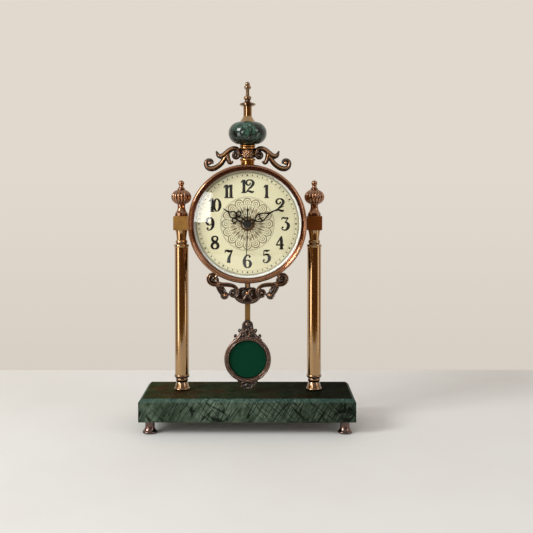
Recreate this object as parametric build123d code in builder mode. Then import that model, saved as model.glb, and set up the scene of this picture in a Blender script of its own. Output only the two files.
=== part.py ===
from build123d import *
import os
from math import acos, cos, pi, radians, sin, sqrt, tan

# Desk pendulum clock, in millimetres. +Z is up, -Y is the front, and the origin is on the
# surface that the feet stand on, below the middle of the slab.

# Slab and feet
slab_width = 250.0
slab_depth = 90.0
slab_thickness = 27.0
slab_chamfer = 4.0
foot_height = 15.0
foot_lip_radius = 8.7
foot_lip_height = 3.2
foot_flare_height = 4.5
foot_stem_radius = 5.6
foot_inset = 12.0
foot_stud_radius = 2.5
foot_stud_length = 9.0

# Columns, from the slab upwards
column_spacing = 158.0
pad_radius = 9.45
pad_height = 3.5
pad_belly_share = 0.6
pad_flare_height = 6.5
foot_waist_radius = 6.45
bead_radius = 7.35
bead_height = 5.6
ring_radius = 9.0
ring_height = 3.6
tube_radius = 8.3
tube_wall = 1.2
spigot_length = 5.0
collar_swell_radius = 7.2
collar_waist_radius = 5.8
collar_waist_height = 5.4
collar_top_radius = 7.4
collar_height = 16.8
block_width = 18.0
block_height = 16.8
block_chamfer = 0.6
neck_base_radius = 7.75
neck_base_height = 3.1
neck_waist_radius = 4.8
neck_height = 13.7
fluted_radius = 12.0
fluted_height = 17.4
flute_count = 16
flute_depth = 1.3
knob_collar_radius = 4.45
knob_collar_height = 1.6
knob_stem_radius = 2.6
knob_stem_flare = 0.26
knob_ball_radius = 3.6
knob_height = 11.2
knob_bore_depth = 5.0

# Threaded rods, nuts and washers
rod_radius = 2.0
rod_clearance = 0.15
nut_width = 7.0
nut_height = 3.2
washer_radius = 5.0
washer_thickness = 1.0
counterbore_radius = 8.0
counterbore_depth = 6.5

# Clock head: dial axis height and the depths in front of the column plane
head_height = 242.0
drum_radius = 67.0
drum_wall = 1.2
drum_back = 9.0
dial_front = 25.0
dial_thickness = 0.8
drum_lip_radius = 61.5
cover_lip_radius = 59.0
boss_radius = 5.0
bezel_radius = 68.75
bezel_front = 34.2
bezel_back = 22.4
bezel_crest_radius = 66.5
bezel_roll = 5.0
bezel_opening_radius = 62.4
bezel_lip = 0.7
lens_radius = 64.5
lens_thickness = 1.6
lens_rise = 8.0
dial_visible_radius = 59.4
ring_depth = 2.7
seat_clearance = 0.1
back_cover_thickness = 1.2
back_window = 57.0
back_window_corner = 3.0

# Screws and bolts of the head
screw_radius = 1.25
screw_head_radius = 2.4
screw_head_height = 1.5
screw_length = 4.8
screw_clearance = 0.1
bolt_head_radius = 3.6
bolt_head_height = 2.6
bolt_bite = 5.0

# Crest, from the drum upwards
crest_depth = 10.0
crest_thickness = 4.4
crest_ridge = 1.4
lower_collar_radius = 8.1
lower_collar_rim_radius = 9.4
lower_collar_rim_height = 3.1
lower_collar_height = 9.2
crest_boss_radius = 6.2
crest_boss_height = 10.8
upper_collar_radius = 9.3
upper_collar_height = 5.4
upper_collar_groove = 1.2
ball_radius = 22.5
ball_height = 26.8
ball_seat_radius = 8.8
spire_flare_radius = 9.4
spire_flare_height = 6.3
spire_flare_share = 0.44
spire_tube_radius = 5.1
spire_tube_height = 11.7
saucer_radius = 9.4
saucer_foot_radius = 7.0
saucer_height = 6.0
spire_neck_radius = 3.3
spire_neck_flare = 2.1
spire_neck_height = 1.3
spire_low_ball_radius = 4.5
spire_low_ball_height = 5.3
spire_stem_radius = 2.0
spire_stem_height = 6.9
spire_high_ball_radius = 4.1
spire_high_ball_height = 5.2
spire_tip_radius = 2.8
spire_tip_height = 4.0
spire_bore_depth = 4.2

# Apron below the head
apron_front = 22.0
apron_thickness = 4.0
apron_ridge = 1.2
apron_loop_x = 39.6
apron_loop_drop = 65.4
apron_loop_radius = 7.2
apron_loop_hole = 3.6
apron_lug_width = 5.4
apron_lug_reach = 5.2
apron_post_width = 5.2

# Pendulum
swing_limit = 7.0
pivot_drop = 33.0
pivot_radius = 1.0
pivot_clearance = 0.06
lever_width = 4.0
lever_back = 12.1
lever_thickness = 3.0
lever_hub_radius = 3.0
magnet_drop = 11.0
magnet_radius = 3.5
magnet_front = 17.5
hook_drop = 60.0
hook_radius = 1.2
hook_length = 2.4
hook_clearance = 0.15
rod_width = 6.3
rod_thickness = 1.5
rod_gap = 0.15
rod_end_above_hook = 2.6
slot_clearance = 1.2
bob_clearance = 4.0
bob_drop = 36.2
bob_radius = 27.5
bob_depth = 6.0
bob_rim_width = 1.7
bob_rope_width = 2.2
bob_rope_rise = 0.9
insert_visible_radius = 21.7
insert_radius = 22.3
insert_thickness = 1.6
insert_lip = 1.1
insert_recess = 2.1
bob_crest_thickness = 4.0
bob_crest_height = 46.1
bob_crest_foot = 25.6
bob_crest_half_width = 17.0
bob_crest_waist = (9.6, 29.4)
bob_crest_shoulder = (6.4, 35.0)
bob_crest_curls = ((8.2, 34.2, 1.8), (13.2, 27.6, 2.0))
bob_crest_window = (2.9, 32.6)
bob_crest_window_radius = 1.5
bob_crest_ball_height = 41.5
bob_crest_ball_radius = 3.6
rod_seat_height = 37.0
rod_seat_clearance = 0.1
drop_half_width = 11.8
drop_shoulder = (6.2, 33.0)
drop_eye_drop = 32.6
drop_eye_radius = 1.7

# Quartz movement
movement_width = 56.0
movement_rise = 28.0
movement_fall = 54.0
movement_depth = 18.0
movement_wall = 1.5
stem_radius = 4.0
stem_length = 3.0
stem_clearance = 0.1
stem_nut_width = 11.0
stem_nut_height = 1.8
battery_radius = 7.1
battery_length = 49.0
battery_nub_radius = 2.75
battery_nub_length = 1.5
battery_drop = 19.2
battery_clearance = 0.15
shelf_thickness = 1.0
contact_width = 8.0
contact_height = 12.0
board_width = 8.0
board_height = 20.0
board_thickness = 1.2
board_depth = 10.0
post_radius = 1.5

# Gear train
gear_thickness = 1.2
gear_layer_pitch = 2.2
gear_first_gap = 1.3
pressure_angle = radians(20.0)
tooth_addendum = 0.85
tooth_dedendum = 1.25
tooth_slack = 0.16
arbor_radius = 0.5
pivot_depth = 0.8
running_clearance = 0.06
sleeve_wall = 0.5
hour_sleeve_wall = 0.75
motion_post_radius = 0.5
motion_hub_radius = 0.9
rotor_teeth = 10
intermediate_wheel_teeth = 60
intermediate_pinion_teeth = 12
second_wheel_teeth = 60
second_pinion_teeth = 10
third_wheel_teeth = 80
third_pinion_teeth = 10
centre_wheel_teeth = 75
cannon_teeth = 10
motion_wheel_teeth = 30
motion_pinion_teeth = 10
hour_wheel_teeth = 40
setting_teeth = 12
rotor_module = 0.25
intermediate_module = 0.28
third_module = 0.22
motion_module = 0.325
third_bearing = radians(135.0)
intermediate_bearing = radians(40.0)
rotor_bearing = radians(20.0)
motion_bearing = radians(-20.0)
setting_bearing = radians(-20.0)
magnet_rotor_radius = 3.0
magnet_rotor_length = 4.4
stator_thickness = 1.0
stator_gap = 0.4
stator_eye_radius = 6.5
stator_bar_width = 5.0
stator_bar_rise = 16.2
stator_left = 16.0
stator_right = 22.0
motor_coil_length = 18.0
motor_coil_shift = -3.0
motor_coil_width = 9.4
motor_coil_depth = 6.6
coil_slack = 0.2
drive_coil_radius = 6.5
drive_coil_bore = 2.0
drive_coil_gap = 1.2
setting_knob_radius = 5.0
setting_knob_length = 4.4
setting_knob_gap = 0.3
setting_arbor_radius = 0.75

# Hands
hand_thickness = 0.6
hand_spacing = 1.4
hand_first_gap = 0.6
hand_bar = 1.5
hub_radius = 3.2
cap_radius = 4.8
cap_thickness = 1.2
hour_hand_angle = radians(302.5)
minute_hand_angle = radians(63.7)
second_hand_angle = radians(181.5)
hour_hand_length = 33.0
minute_hand_length = 47.2
second_hand_length = 38.2
second_tail_length = 16.7
second_hand_width = 0.9
second_tail_width = 1.5
second_tail_ball = 1.4

# Heights and places that follow from the sizes above
slab_top = foot_height + slab_thickness
column_x = column_spacing / 2
foot_x = slab_width / 2 - foot_inset
foot_y = slab_depth / 2 - foot_inset
tube_bottom = slab_top + pad_height + pad_flare_height + bead_height + ring_height
block_bottom = head_height - block_height / 2
block_top = head_height + block_height / 2
collar_bottom = block_bottom - collar_height - ring_height
neck_top = block_top + neck_height
fluted_top = neck_top + fluted_height
spigot_radius = tube_radius - tube_wall - seat_clearance
bore_radius = rod_radius + rod_clearance
washer_top = foot_height + counterbore_depth
drum_inner_radius = drum_radius - drum_wall
cover_screw_radius = (cover_lip_radius + drum_inner_radius) / 2
dial_back = dial_front - dial_thickness
lens_back = dial_front + ring_depth + seat_clearance
lens_edge_front = lens_back + lens_thickness
collar_top = head_height + drum_radius + lower_collar_height
boss_top = collar_top + crest_boss_height
ball_bottom = boss_top + upper_collar_height
ball_top = ball_bottom + ball_height
spire_bottom = ball_top + spire_flare_height + spire_tube_height
hook_height = head_height - hook_drop
lever_front = lever_back + lever_thickness
rod_back = lever_front + rod_gap
rod_middle = rod_back + rod_thickness / 2
bob_height = slab_top + bob_clearance + bob_drop
movement_back = dial_back - movement_depth
movement_inner_back = movement_back + movement_wall
movement_inner_front = dial_back - movement_wall
movement_inner_width = movement_width - 2 * movement_wall
movement_inner_height = movement_rise + movement_fall - 2 * movement_wall
movement_middle = (movement_rise - movement_fall) / 2
stem_front = dial_front + stem_length
minute_sleeve_bore = arbor_radius + running_clearance
minute_sleeve_radius = minute_sleeve_bore + sleeve_wall
hour_sleeve_bore = minute_sleeve_radius + running_clearance
hour_sleeve_radius = hour_sleeve_bore + hour_sleeve_wall
stem_bore = hour_sleeve_radius + running_clearance
hour_hand_back = stem_front + hand_first_gap
minute_hand_back = hour_hand_back + hand_spacing
second_hand_back = minute_hand_back + hand_spacing
third_distance = third_module * (second_pinion_teeth + third_wheel_teeth) / 2
centre_module = 2 * third_distance / (third_pinion_teeth + centre_wheel_teeth)
motion_distance = motion_module * (cannon_teeth + motion_wheel_teeth) / 2
hour_module = 2 * motion_distance / (motion_pinion_teeth + hour_wheel_teeth)
intermediate_distance = intermediate_module * (second_wheel_teeth + intermediate_pinion_teeth) / 2
rotor_distance = rotor_module * (intermediate_wheel_teeth + rotor_teeth) / 2
setting_distance = motion_module * (motion_wheel_teeth + setting_teeth) / 2

vertical = (0, 0, 1)
front = (0, -1, 0)
head_front = Plane(origin=(0, 0, head_height), x_dir=(1, 0, 0), z_dir=front)
head_side = Plane(origin=(0, 0, head_height), x_dir=front, z_dir=(-1, 0, 0))
dial_axis = Axis((0, 0, head_height), front)
crest_front = Plane(origin=(0, -crest_depth, 0), x_dir=(1, 0, 0), z_dir=front)
crest_axis = Axis((0, -crest_depth, 0), vertical)
bob_front = Plane(origin=(0, -rod_middle, bob_height), x_dir=(1, 0, 0), z_dir=front)
bob_side = Plane(origin=(0, -rod_middle, bob_height), x_dir=front, z_dir=(-1, 0, 0))
bob_axis = Axis((0, -rod_middle, bob_height), front)


def save(piece, name):
    """Name a finished piece and write it to its own file."""
    piece.part.label = name
    export_step(piece.part, f"parts/{name}.step")


def outline(start, *moves):
    """Draw a closed face. A move is an end point, or a middle and an end point of an arc."""
    here = start
    with BuildLine() as path:
        for move in moves:
            if isinstance(move[0], tuple):
                ThreePointArc(here, *move)
                here = move[1]
            else:
                Line(here, move)
                here = move
        Line(here, start)
    make_face(path.edges())


def stroke(stations, mirrored=False):
    """Draw a band with round ends along stations of x, y and width, and its mirror image if asked."""
    left = []
    right = []
    last = len(stations) - 1
    for index, (x, y, width) in enumerate(stations):
        before = stations[max(index - 1, 0)]
        after = stations[min(index + 1, last)]
        along = Vector(after[0] - before[0], after[1] - before[1]).normalized()
        left.append((x - along.Y * width / 2, y + along.X * width / 2))
        right.append((x + along.Y * width / 2, y - along.X * width / 2))
    sides = (1, -1) if mirrored else (1,)
    for side in sides:
        with BuildLine() as path:
            Spline(*[(side * x, y) for x, y in left])
            Line((side * left[last][0], left[last][1]), (side * right[last][0], right[last][1]))
            Spline(*[(side * x, y) for x, y in reversed(right)])
            Line((side * right[0][0], right[0][1]), (side * left[0][0], left[0][1]))
        make_face(path.edges())
        for x, y, width in (stations[0], stations[last]):
            with Locations((side * x, y)):
                Circle(width / 2)


def upright(x, y):
    """Plane through an upright axis, whose own X is a radius and whose own Y is a height."""
    return Plane(origin=(x, y, 0), x_dir=(1, 0, 0), z_dir=front)


def dome_middle(radius, rise, apex):
    """Point halfway out on a dome of this radius and rise, as depth and radius."""
    sphere = (radius ** 2 + rise ** 2) / (2 * rise)
    half = radius / 2
    return (apex - sphere + sqrt(sphere ** 2 - half ** 2), half)


def seat_on(cylinder, radius):
    """Distance from a cylinder's axis at which a flat disc of this radius rests inside it."""
    return sqrt(cylinder ** 2 - radius ** 2)


os.makedirs("parts", exist_ok=True)

# Marble slab
with BuildPart() as marble_base:
    with BuildSketch(Plane.XY.offset(foot_height)):
        Rectangle(slab_width, slab_depth)
    extrude(amount=slab_thickness)
    chamfer(marble_base.faces().sort_by(Axis.Z)[-1].edges(), slab_chamfer)
    with BuildSketch(Plane.XY.offset(foot_height)):
        with GridLocations(2 * foot_x, 2 * foot_y, 2, 2):
            Circle(foot_stud_radius + seat_clearance)
    extrude(amount=foot_stud_length + seat_clearance, mode=Mode.SUBTRACT)
    with BuildSketch(Plane.XY.offset(foot_height)):
        with GridLocations(column_spacing, 0, 2, 1):
            Circle(bore_radius)
    extrude(amount=slab_thickness, mode=Mode.SUBTRACT)
    with BuildSketch(Plane.XY.offset(foot_height)):
        with GridLocations(column_spacing, 0, 2, 1):
            Circle(counterbore_radius)
    extrude(amount=counterbore_depth, mode=Mode.SUBTRACT)
save(marble_base, "marble_base")


# Turned feet, each with a stud that screws into the slab
def make_foot(name, x, y):
    lip_top = foot_lip_height
    flare_top = foot_lip_height + foot_flare_height
    flare_middle = (foot_lip_radius + 2 * foot_stem_radius) / 3
    with BuildPart() as foot:
        with BuildSketch(upright(x, y)):
            outline(
                (0, 0),
                (foot_lip_radius - lip_top / 2, 0),
                ((foot_lip_radius, lip_top / 2), (foot_lip_radius - lip_top / 3, lip_top)),
                ((flare_middle, lip_top + foot_flare_height / 3), (foot_stem_radius, flare_top)),
                (foot_stem_radius, foot_height),
                (foot_stud_radius, foot_height),
                (foot_stud_radius, foot_height + foot_stud_length),
                (0, foot_height + foot_stud_length),
            )
        revolve(axis=Axis((x, y, 0), vertical))
    save(foot, name)


make_foot("foot_front_left", -foot_x, -foot_y)
make_foot("foot_front_right", foot_x, -foot_y)
make_foot("foot_back_left", -foot_x, foot_y)
make_foot("foot_back_right", foot_x, foot_y)


# Columns: turned pieces stacked on a tie rod
def make_column_foot(name, x):
    pad_top = slab_top + pad_height
    waist = pad_top + pad_flare_height
    ring_bottom = waist + bead_height
    with BuildPart() as foot:
        with BuildSketch(upright(x, 0)):
            outline(
                (bore_radius, slab_top),
                (pad_radius - pad_height / 4, slab_top),
                ((pad_radius, slab_top + pad_height * pad_belly_share),
                 (pad_radius - pad_height / 4, pad_top)),
                ((foot_waist_radius + pad_height / 3, waist - pad_flare_height / 2),
                 (foot_waist_radius, waist)),
                ((bead_radius, waist + bead_height / 2), (foot_waist_radius, ring_bottom)),
                (tube_radius, ring_bottom),
                ((ring_radius, ring_bottom + ring_height / 2), (tube_radius, tube_bottom)),
                (spigot_radius, tube_bottom),
                (spigot_radius, tube_bottom + spigot_length),
                (bore_radius, tube_bottom + spigot_length),
            )
        revolve(axis=Axis((x, 0, 0), vertical))
    save(foot, name)


def make_column_tube(name, x):
    with BuildPart() as tube:
        with BuildSketch(Plane.XY.offset(tube_bottom)):
            with Locations((x, 0)):
                Circle(tube_radius)
                Circle(tube_radius - tube_wall, mode=Mode.SUBTRACT)
        extrude(amount=collar_bottom - tube_bottom)
    save(tube, name)


def make_column_collar(name, x):
    ring_top = collar_bottom + ring_height
    waist = ring_top + collar_waist_height
    flare_middle = (collar_waist_radius * 2 + collar_top_radius) / 3
    with BuildPart() as collar:
        with BuildSketch(upright(x, 0)):
            outline(
                (bore_radius, collar_bottom - spigot_length),
                (spigot_radius, collar_bottom - spigot_length),
                (spigot_radius, collar_bottom),
                (tube_radius, collar_bottom),
                ((ring_radius, collar_bottom + ring_height / 2), (tube_radius, ring_top)),
                (collar_waist_radius, ring_top),
                ((collar_swell_radius, ring_top + collar_waist_height / 2),
                 (collar_waist_radius, waist)),
                ((flare_middle, (waist + block_bottom) / 2), (collar_top_radius, block_bottom)),
                (bore_radius, block_bottom),
            )
        revolve(axis=Axis((x, 0, 0), vertical))
    save(collar, name)


def make_column_block(name, x, inward):
    with BuildPart() as block:
        with BuildSketch(Plane.XY.offset(block_bottom)):
            with Locations((x, 0)):
                Rectangle(block_width, block_width)
                Circle(bore_radius, mode=Mode.SUBTRACT)
        extrude(amount=block_height)
        chamfer(block.edges().filter_by(GeomType.LINE), block_chamfer)
        inner_face = Plane(origin=(x + inward * block_width / 2, 0, head_height), z_dir=(-inward, 0, 0))
        with BuildSketch(inner_face):
            Circle(rod_radius + screw_clearance)
        extrude(amount=bolt_bite + screw_clearance, mode=Mode.SUBTRACT)
    save(block, name)


def make_column_neck(name, x):
    base_top = block_top + neck_base_height
    with BuildPart() as neck:
        with BuildSketch(upright(x, 0)):
            outline(
                (bore_radius, block_top),
                (neck_base_radius, block_top),
                (neck_base_radius, base_top),
                ((neck_waist_radius + tube_wall / 2, base_top + (neck_top - base_top) / 3),
                 (neck_waist_radius, neck_top)),
                (bore_radius, neck_top),
            )
        revolve(axis=Axis((x, 0, 0), vertical))
    save(neck, name)


def make_fluted_ball(name, x):
    ball_half = fluted_height / 2 / sqrt(1 - (neck_waist_radius / fluted_radius) ** 2)
    section_count = 7
    groove_turn = 2 * pi / flute_count
    with BuildPart() as ball:
        for section in range(section_count):
            share = 2 * section / (section_count - 1) - 1
            height = neck_top + fluted_height * (1 + sin(share * pi / 2)) / 2
            rise = height - neck_top - fluted_height / 2
            crown = fluted_radius * sqrt(1 - (rise / ball_half) ** 2)
            groove = crown - flute_depth * crown / fluted_radius
            with BuildSketch(Plane(origin=(x, 0, height))):
                with BuildLine():
                    for flute in range(flute_count):
                        turn = flute * groove_turn
                        ThreePointArc(
                            (groove * cos(turn), groove * sin(turn)),
                            (crown * cos(turn + groove_turn / 2), crown * sin(turn + groove_turn / 2)),
                            (groove * cos(turn + groove_turn), groove * sin(turn + groove_turn)),
                        )
                make_face()
        loft()
        with BuildSketch(Plane(origin=(x, 0, neck_top))):
            Circle(bore_radius)
        extrude(amount=fluted_height, mode=Mode.SUBTRACT)
    save(ball, name)


def make_column_knob(name, x):
    collar_end = fluted_top + knob_collar_height
    knob_end = fluted_top + knob_height
    ball_middle = knob_end - knob_ball_radius
    ball_low = ball_middle - sqrt(knob_ball_radius ** 2 - knob_stem_radius ** 2)
    with BuildPart() as knob:
        with BuildSketch(upright(x, 0)):
            outline(
                (0, fluted_top),
                (knob_collar_radius, fluted_top),
                (knob_collar_radius, collar_end),
                ((knob_stem_radius + knob_stem_flare, (collar_end + ball_low) / 2),
                 (knob_stem_radius, ball_low)),
                ((knob_ball_radius, ball_middle), (0, knob_end)),
            )
        revolve(axis=Axis((x, 0, 0), vertical))
        with BuildSketch(Plane(origin=(x, 0, fluted_top))):
            Circle(rod_radius + screw_clearance)
        extrude(amount=knob_bore_depth, mode=Mode.SUBTRACT)
    save(knob, name)


def make_tie_rod(name, x):
    rod_bottom = washer_top - washer_thickness - nut_height - screw_clearance
    rod_top = fluted_top + knob_bore_depth - screw_clearance
    with BuildPart() as rod:
        with BuildSketch(Plane(origin=(x, 0, rod_bottom))):
            Circle(rod_radius)
        extrude(amount=rod_top - rod_bottom)
    save(rod, name)


for side_name, side in (("left", -1), ("right", 1)):
    make_column_foot(f"column_foot_{side_name}", side * column_x)
    make_column_tube(f"column_tube_{side_name}", side * column_x)
    make_column_collar(f"column_collar_{side_name}", side * column_x)
    make_column_block(f"column_block_{side_name}", side * column_x, -side)
    make_column_neck(f"column_neck_{side_name}", side * column_x)
    make_fluted_ball(f"fluted_ball_{side_name}", side * column_x)
    make_column_knob(f"column_knob_{side_name}", side * column_x)
    make_tie_rod(f"column_tie_rod_{side_name}", side * column_x)

# Washers and nuts of the three threaded rods: two in the slab's underside, one inside the drum
crest_washer_top = head_height + seat_on(drum_inner_radius, washer_radius)
rod_places = (
    (-column_x, 0, washer_top),
    (column_x, 0, washer_top),
    (0, -crest_depth, crest_washer_top),
)
with BuildPart() as rod_washers:
    for x, y, top in rod_places:
        with BuildSketch(Plane(origin=(x, y, top - washer_thickness))):
            Circle(washer_radius)
            Circle(bore_radius, mode=Mode.SUBTRACT)
        extrude(amount=washer_thickness)
save(rod_washers, "rod_washers")

with BuildPart() as rod_nuts:
    for x, y, top in rod_places:
        with BuildSketch(Plane(origin=(x, y, top - washer_thickness - nut_height))):
            RegularPolygon(nut_width / 2, 6, major_radius=False)
            Circle(rod_radius + screw_clearance, mode=Mode.SUBTRACT)
        extrude(amount=nut_height)
save(rod_nuts, "rod_nuts")

# Drum of the clock head, with a front lip for the dial, a back lip for the cover and two side bosses
apron_middle = apron_front - apron_thickness / 2
slot_half_width = (
    (drum_radius - pivot_drop) * tan(radians(swing_limit)) + rod_width / 2 + slot_clearance
)
loop_direction = Vector(apron_loop_x, 0, -apron_loop_drop).normalized()
cover_screw_turns = (45, 135, 225, 315)

with BuildPart() as case_drum:
    with BuildSketch(head_side):
        outline(
            (dial_back, drum_lip_radius),
            (dial_back, drum_radius),
            (-drum_back, drum_radius),
            (-drum_back, cover_lip_radius),
            (-drum_back + drum_wall, cover_lip_radius),
            (-drum_back + drum_wall, drum_inner_radius),
            (dial_back - drum_wall, drum_inner_radius),
            (dial_back - drum_wall, drum_lip_radius),
        )
    revolve(axis=dial_axis)
    for side in (-1, 1):
        boss_end = Plane(origin=(side * (column_x - block_width / 2), 0, head_height), z_dir=(-side, 0, 0))
        boss_length = column_x - block_width / 2 - drum_inner_radius
        with BuildSketch(boss_end):
            Circle(boss_radius)
        extrude(amount=boss_length)
        with BuildSketch(boss_end):
            Circle(bore_radius)
        extrude(amount=boss_length + drum_wall, mode=Mode.SUBTRACT)
    with BuildSketch(head_front.offset(-drum_back + drum_wall)):
        Circle(drum_inner_radius)
    extrude(amount=dial_back + drum_back - 2 * drum_wall, mode=Mode.SUBTRACT)
    with BuildSketch(Plane(origin=(0, -rod_middle, head_height - drum_radius))):
        Rectangle(2 * slot_half_width, rod_thickness + 2 * slot_clearance)
    extrude(amount=boss_radius, mode=Mode.SUBTRACT)
    with BuildSketch(Plane(origin=(0, -crest_depth, head_height))):
        Circle(bore_radius)
    extrude(amount=drum_radius, mode=Mode.SUBTRACT)
    for side in (-1, 1):
        with BuildSketch(Plane(origin=(0, -apron_middle, head_height),
                               z_dir=(side * loop_direction.X, 0, loop_direction.Z))):
            Circle(screw_radius + screw_clearance)
        extrude(amount=drum_radius, mode=Mode.SUBTRACT)
    with BuildSketch(head_front.offset(-drum_back)):
        with PolarLocations(cover_screw_radius, len(cover_screw_turns), start_angle=cover_screw_turns[0]):
            Circle(screw_radius + screw_clearance)
    extrude(amount=drum_wall, mode=Mode.SUBTRACT)
save(case_drum, "case_drum")

with BuildPart() as back_cover:
    with BuildSketch(head_front.offset(-drum_back - back_cover_thickness)):
        Circle(drum_radius)
        RectangleRounded(back_window, back_window, back_window_corner, mode=Mode.SUBTRACT)
        with PolarLocations(cover_screw_radius, len(cover_screw_turns), start_angle=cover_screw_turns[0]):
            Circle(screw_radius + screw_clearance, mode=Mode.SUBTRACT)
    extrude(amount=back_cover_thickness)
save(back_cover, "back_cover")

# Small screws: four hold the back cover, two hold the apron from inside the drum
with BuildPart() as case_screws:
    cover_face = head_front.offset(-drum_back - back_cover_thickness)
    with BuildSketch(cover_face):
        with PolarLocations(cover_screw_radius, len(cover_screw_turns), start_angle=cover_screw_turns[0]):
            Circle(screw_head_radius)
    extrude(amount=-screw_head_height)
    with BuildSketch(cover_face):
        with PolarLocations(cover_screw_radius, len(cover_screw_turns), start_angle=cover_screw_turns[0]):
            Circle(screw_radius)
    extrude(amount=screw_length)
    head_seat = seat_on(drum_inner_radius, screw_head_radius)
    for side in (-1, 1):
        outward = Vector(side * loop_direction.X, 0, loop_direction.Z)
        seat = Vector(0, -apron_middle, head_height) + outward * head_seat
        with BuildSketch(Plane(origin=seat, z_dir=outward)):
            Circle(screw_head_radius)
        extrude(amount=-screw_head_height)
        with BuildSketch(Plane(origin=seat, z_dir=outward)):
            Circle(screw_radius)
        extrude(amount=screw_length)
save(case_screws, "case_screws")

# Bolts from inside the drum into the column blocks
with BuildPart() as case_bolts:
    bolt_seat = seat_on(drum_inner_radius, bolt_head_radius)
    for side in (-1, 1):
        with BuildSketch(Plane(origin=(side * bolt_seat, 0, head_height), z_dir=(side, 0, 0))):
            Circle(bolt_head_radius)
        extrude(amount=-bolt_head_height)
        with BuildSketch(Plane(origin=(side * bolt_seat, 0, head_height), z_dir=(side, 0, 0))):
            Circle(rod_radius)
        extrude(amount=column_x - block_width / 2 + bolt_bite - bolt_seat)
save(case_bolts, "case_bolts")

# Bezel, lens, inner ring and dial
with BuildPart() as bezel:
    skirt_inner = drum_radius + seat_clearance
    groove_inner = lens_radius + 2 * seat_clearance
    lip_back = lens_edge_front + seat_clearance
    with BuildSketch(head_side):
        outline(
            (bezel_back, skirt_inner),
            (bezel_back, bezel_radius),
            (bezel_front - bezel_roll, bezel_radius),
            ((bezel_front - bezel_roll / 4, (bezel_radius * 2 + bezel_crest_radius) / 3),
             (bezel_front, bezel_crest_radius)),
            (((bezel_front + lip_back) / 2, (bezel_crest_radius + bezel_opening_radius) / 2),
             (lip_back + bezel_lip, bezel_opening_radius)),
            (lip_back, bezel_opening_radius),
            (lip_back, groove_inner),
            (dial_back + seat_clearance, groove_inner),
            (dial_back + seat_clearance, skirt_inner),
        )
    revolve(axis=dial_axis)
save(bezel, "bezel")

with BuildPart() as lens:
    dome_radius = bezel_opening_radius - 2 * seat_clearance
    inner_dome_radius = dome_radius - lens_thickness / 2
    apex = lens_edge_front + lens_rise
    with BuildSketch(head_side):
        outline(
            (apex - lens_thickness, 0),
            (dome_middle(inner_dome_radius, lens_rise, apex - lens_thickness),
             (lens_back, inner_dome_radius)),
            (lens_back, lens_radius),
            (lens_edge_front, lens_radius),
            (lens_edge_front, dome_radius),
            (dome_middle(dome_radius, lens_rise, apex), (apex, 0)),
        )
    revolve(axis=dial_axis)
save(lens, "lens")

with BuildPart() as dial_ring:
    with BuildSketch(head_side):
        outline(
            (dial_front, dial_visible_radius),
            (dial_front, lens_radius),
            (dial_front + ring_depth, lens_radius),
            (dial_front + ring_depth, inner_dome_radius),
        )
    revolve(axis=dial_axis)
save(dial_ring, "dial_ring")

with BuildPart() as dial:
    with BuildSketch(head_front.offset(dial_back)):
        Circle(lens_radius)
        Circle(stem_radius + stem_clearance, mode=Mode.SUBTRACT)
    extrude(amount=dial_thickness)
save(dial, "dial")

# Crest: a casting of two scrolled arms on a boss, clamped between collars by a threaded rod.
# The arms' stations are x, height above the lower collar and strap width.
crest_arch = (
    (5.0, 5.6, 3.0), (8.6, 8.6, 3.2), (11.4, 11.0, 3.6), (15.1, 12.0, 3.8), (21.5, 9.0, 4.2),
    (27.5, 4.0, 4.6), (33.3, 1.9, 4.2), (37.0, 4.0, 3.2), (37.5, 8.2, 1.4),
)
crest_volute = (
    (24.0, 4.0, 3.2), (26.2, -1.4, 3.8), (31.0, -8.0, 4.2), (37.0, -11.7, 4.4), (43.0, -11.9, 4.2),
    (48.0, -8.8, 3.6), (49.0, -4.6, 3.2), (46.6, -1.9, 2.8), (43.4, -2.8, 2.4),
)
crest_volute_eye = (45.6, -5.4)
crest_volute_eye_radius = 2.5
crest_hook = ((24.2, 2.6, 3.0), (23.9, -1.8, 3.2), (22.4, -5.0, 3.0), (19.6, -5.3, 2.4))
crest_hook_eye = (18.9, -3.9)
crest_hook_eye_radius = 1.8
crest_curl = (12.4, 3.3)
crest_curl_radius = 4.1
crest_curl_hole = 1.7
crest_link = ((4.0, 3.0, 3.0), (9.0, 3.0, 3.0))
ridge_share = 0.45


def narrowed(stations):
    """The same stations with the narrower width of a raised ridge."""
    return tuple((x, y, width * ridge_share) for x, y, width in stations)


with BuildPart() as crest_scroll:
    crest_plane = Plane(origin=(0, -crest_depth, collar_top), x_dir=(1, 0, 0), z_dir=front)
    with BuildSketch(crest_plane.offset(-crest_thickness / 2)):
        for stations in (crest_arch, crest_volute, crest_hook, crest_link):
            stroke(stations, mirrored=True)
        for side in (-1, 1):
            with Locations((side * crest_volute_eye[0], crest_volute_eye[1])):
                Circle(crest_volute_eye_radius)
            with Locations((side * crest_hook_eye[0], crest_hook_eye[1])):
                Circle(crest_hook_eye_radius)
            with Locations((side * crest_curl[0], crest_curl[1])):
                Circle(crest_curl_radius)
                Circle(crest_curl_hole, mode=Mode.SUBTRACT)
    extrude(amount=crest_thickness)
    with BuildSketch(crest_plane.offset(crest_thickness / 2)):
        for stations in (crest_arch, crest_volute, crest_hook):
            stroke(narrowed(stations), mirrored=True)
    extrude(amount=crest_ridge)
    with BuildSketch(crest_front):
        outline(
            (0, collar_top),
            (crest_boss_radius, collar_top),
            (crest_boss_radius, boss_top),
            (0, boss_top),
        )
    revolve(axis=crest_axis)
    with BuildSketch(Plane(origin=(0, -crest_depth, collar_top))):
        Circle(bore_radius)
    extrude(amount=crest_boss_height, mode=Mode.SUBTRACT)
save(crest_scroll, "crest_scroll")

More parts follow.
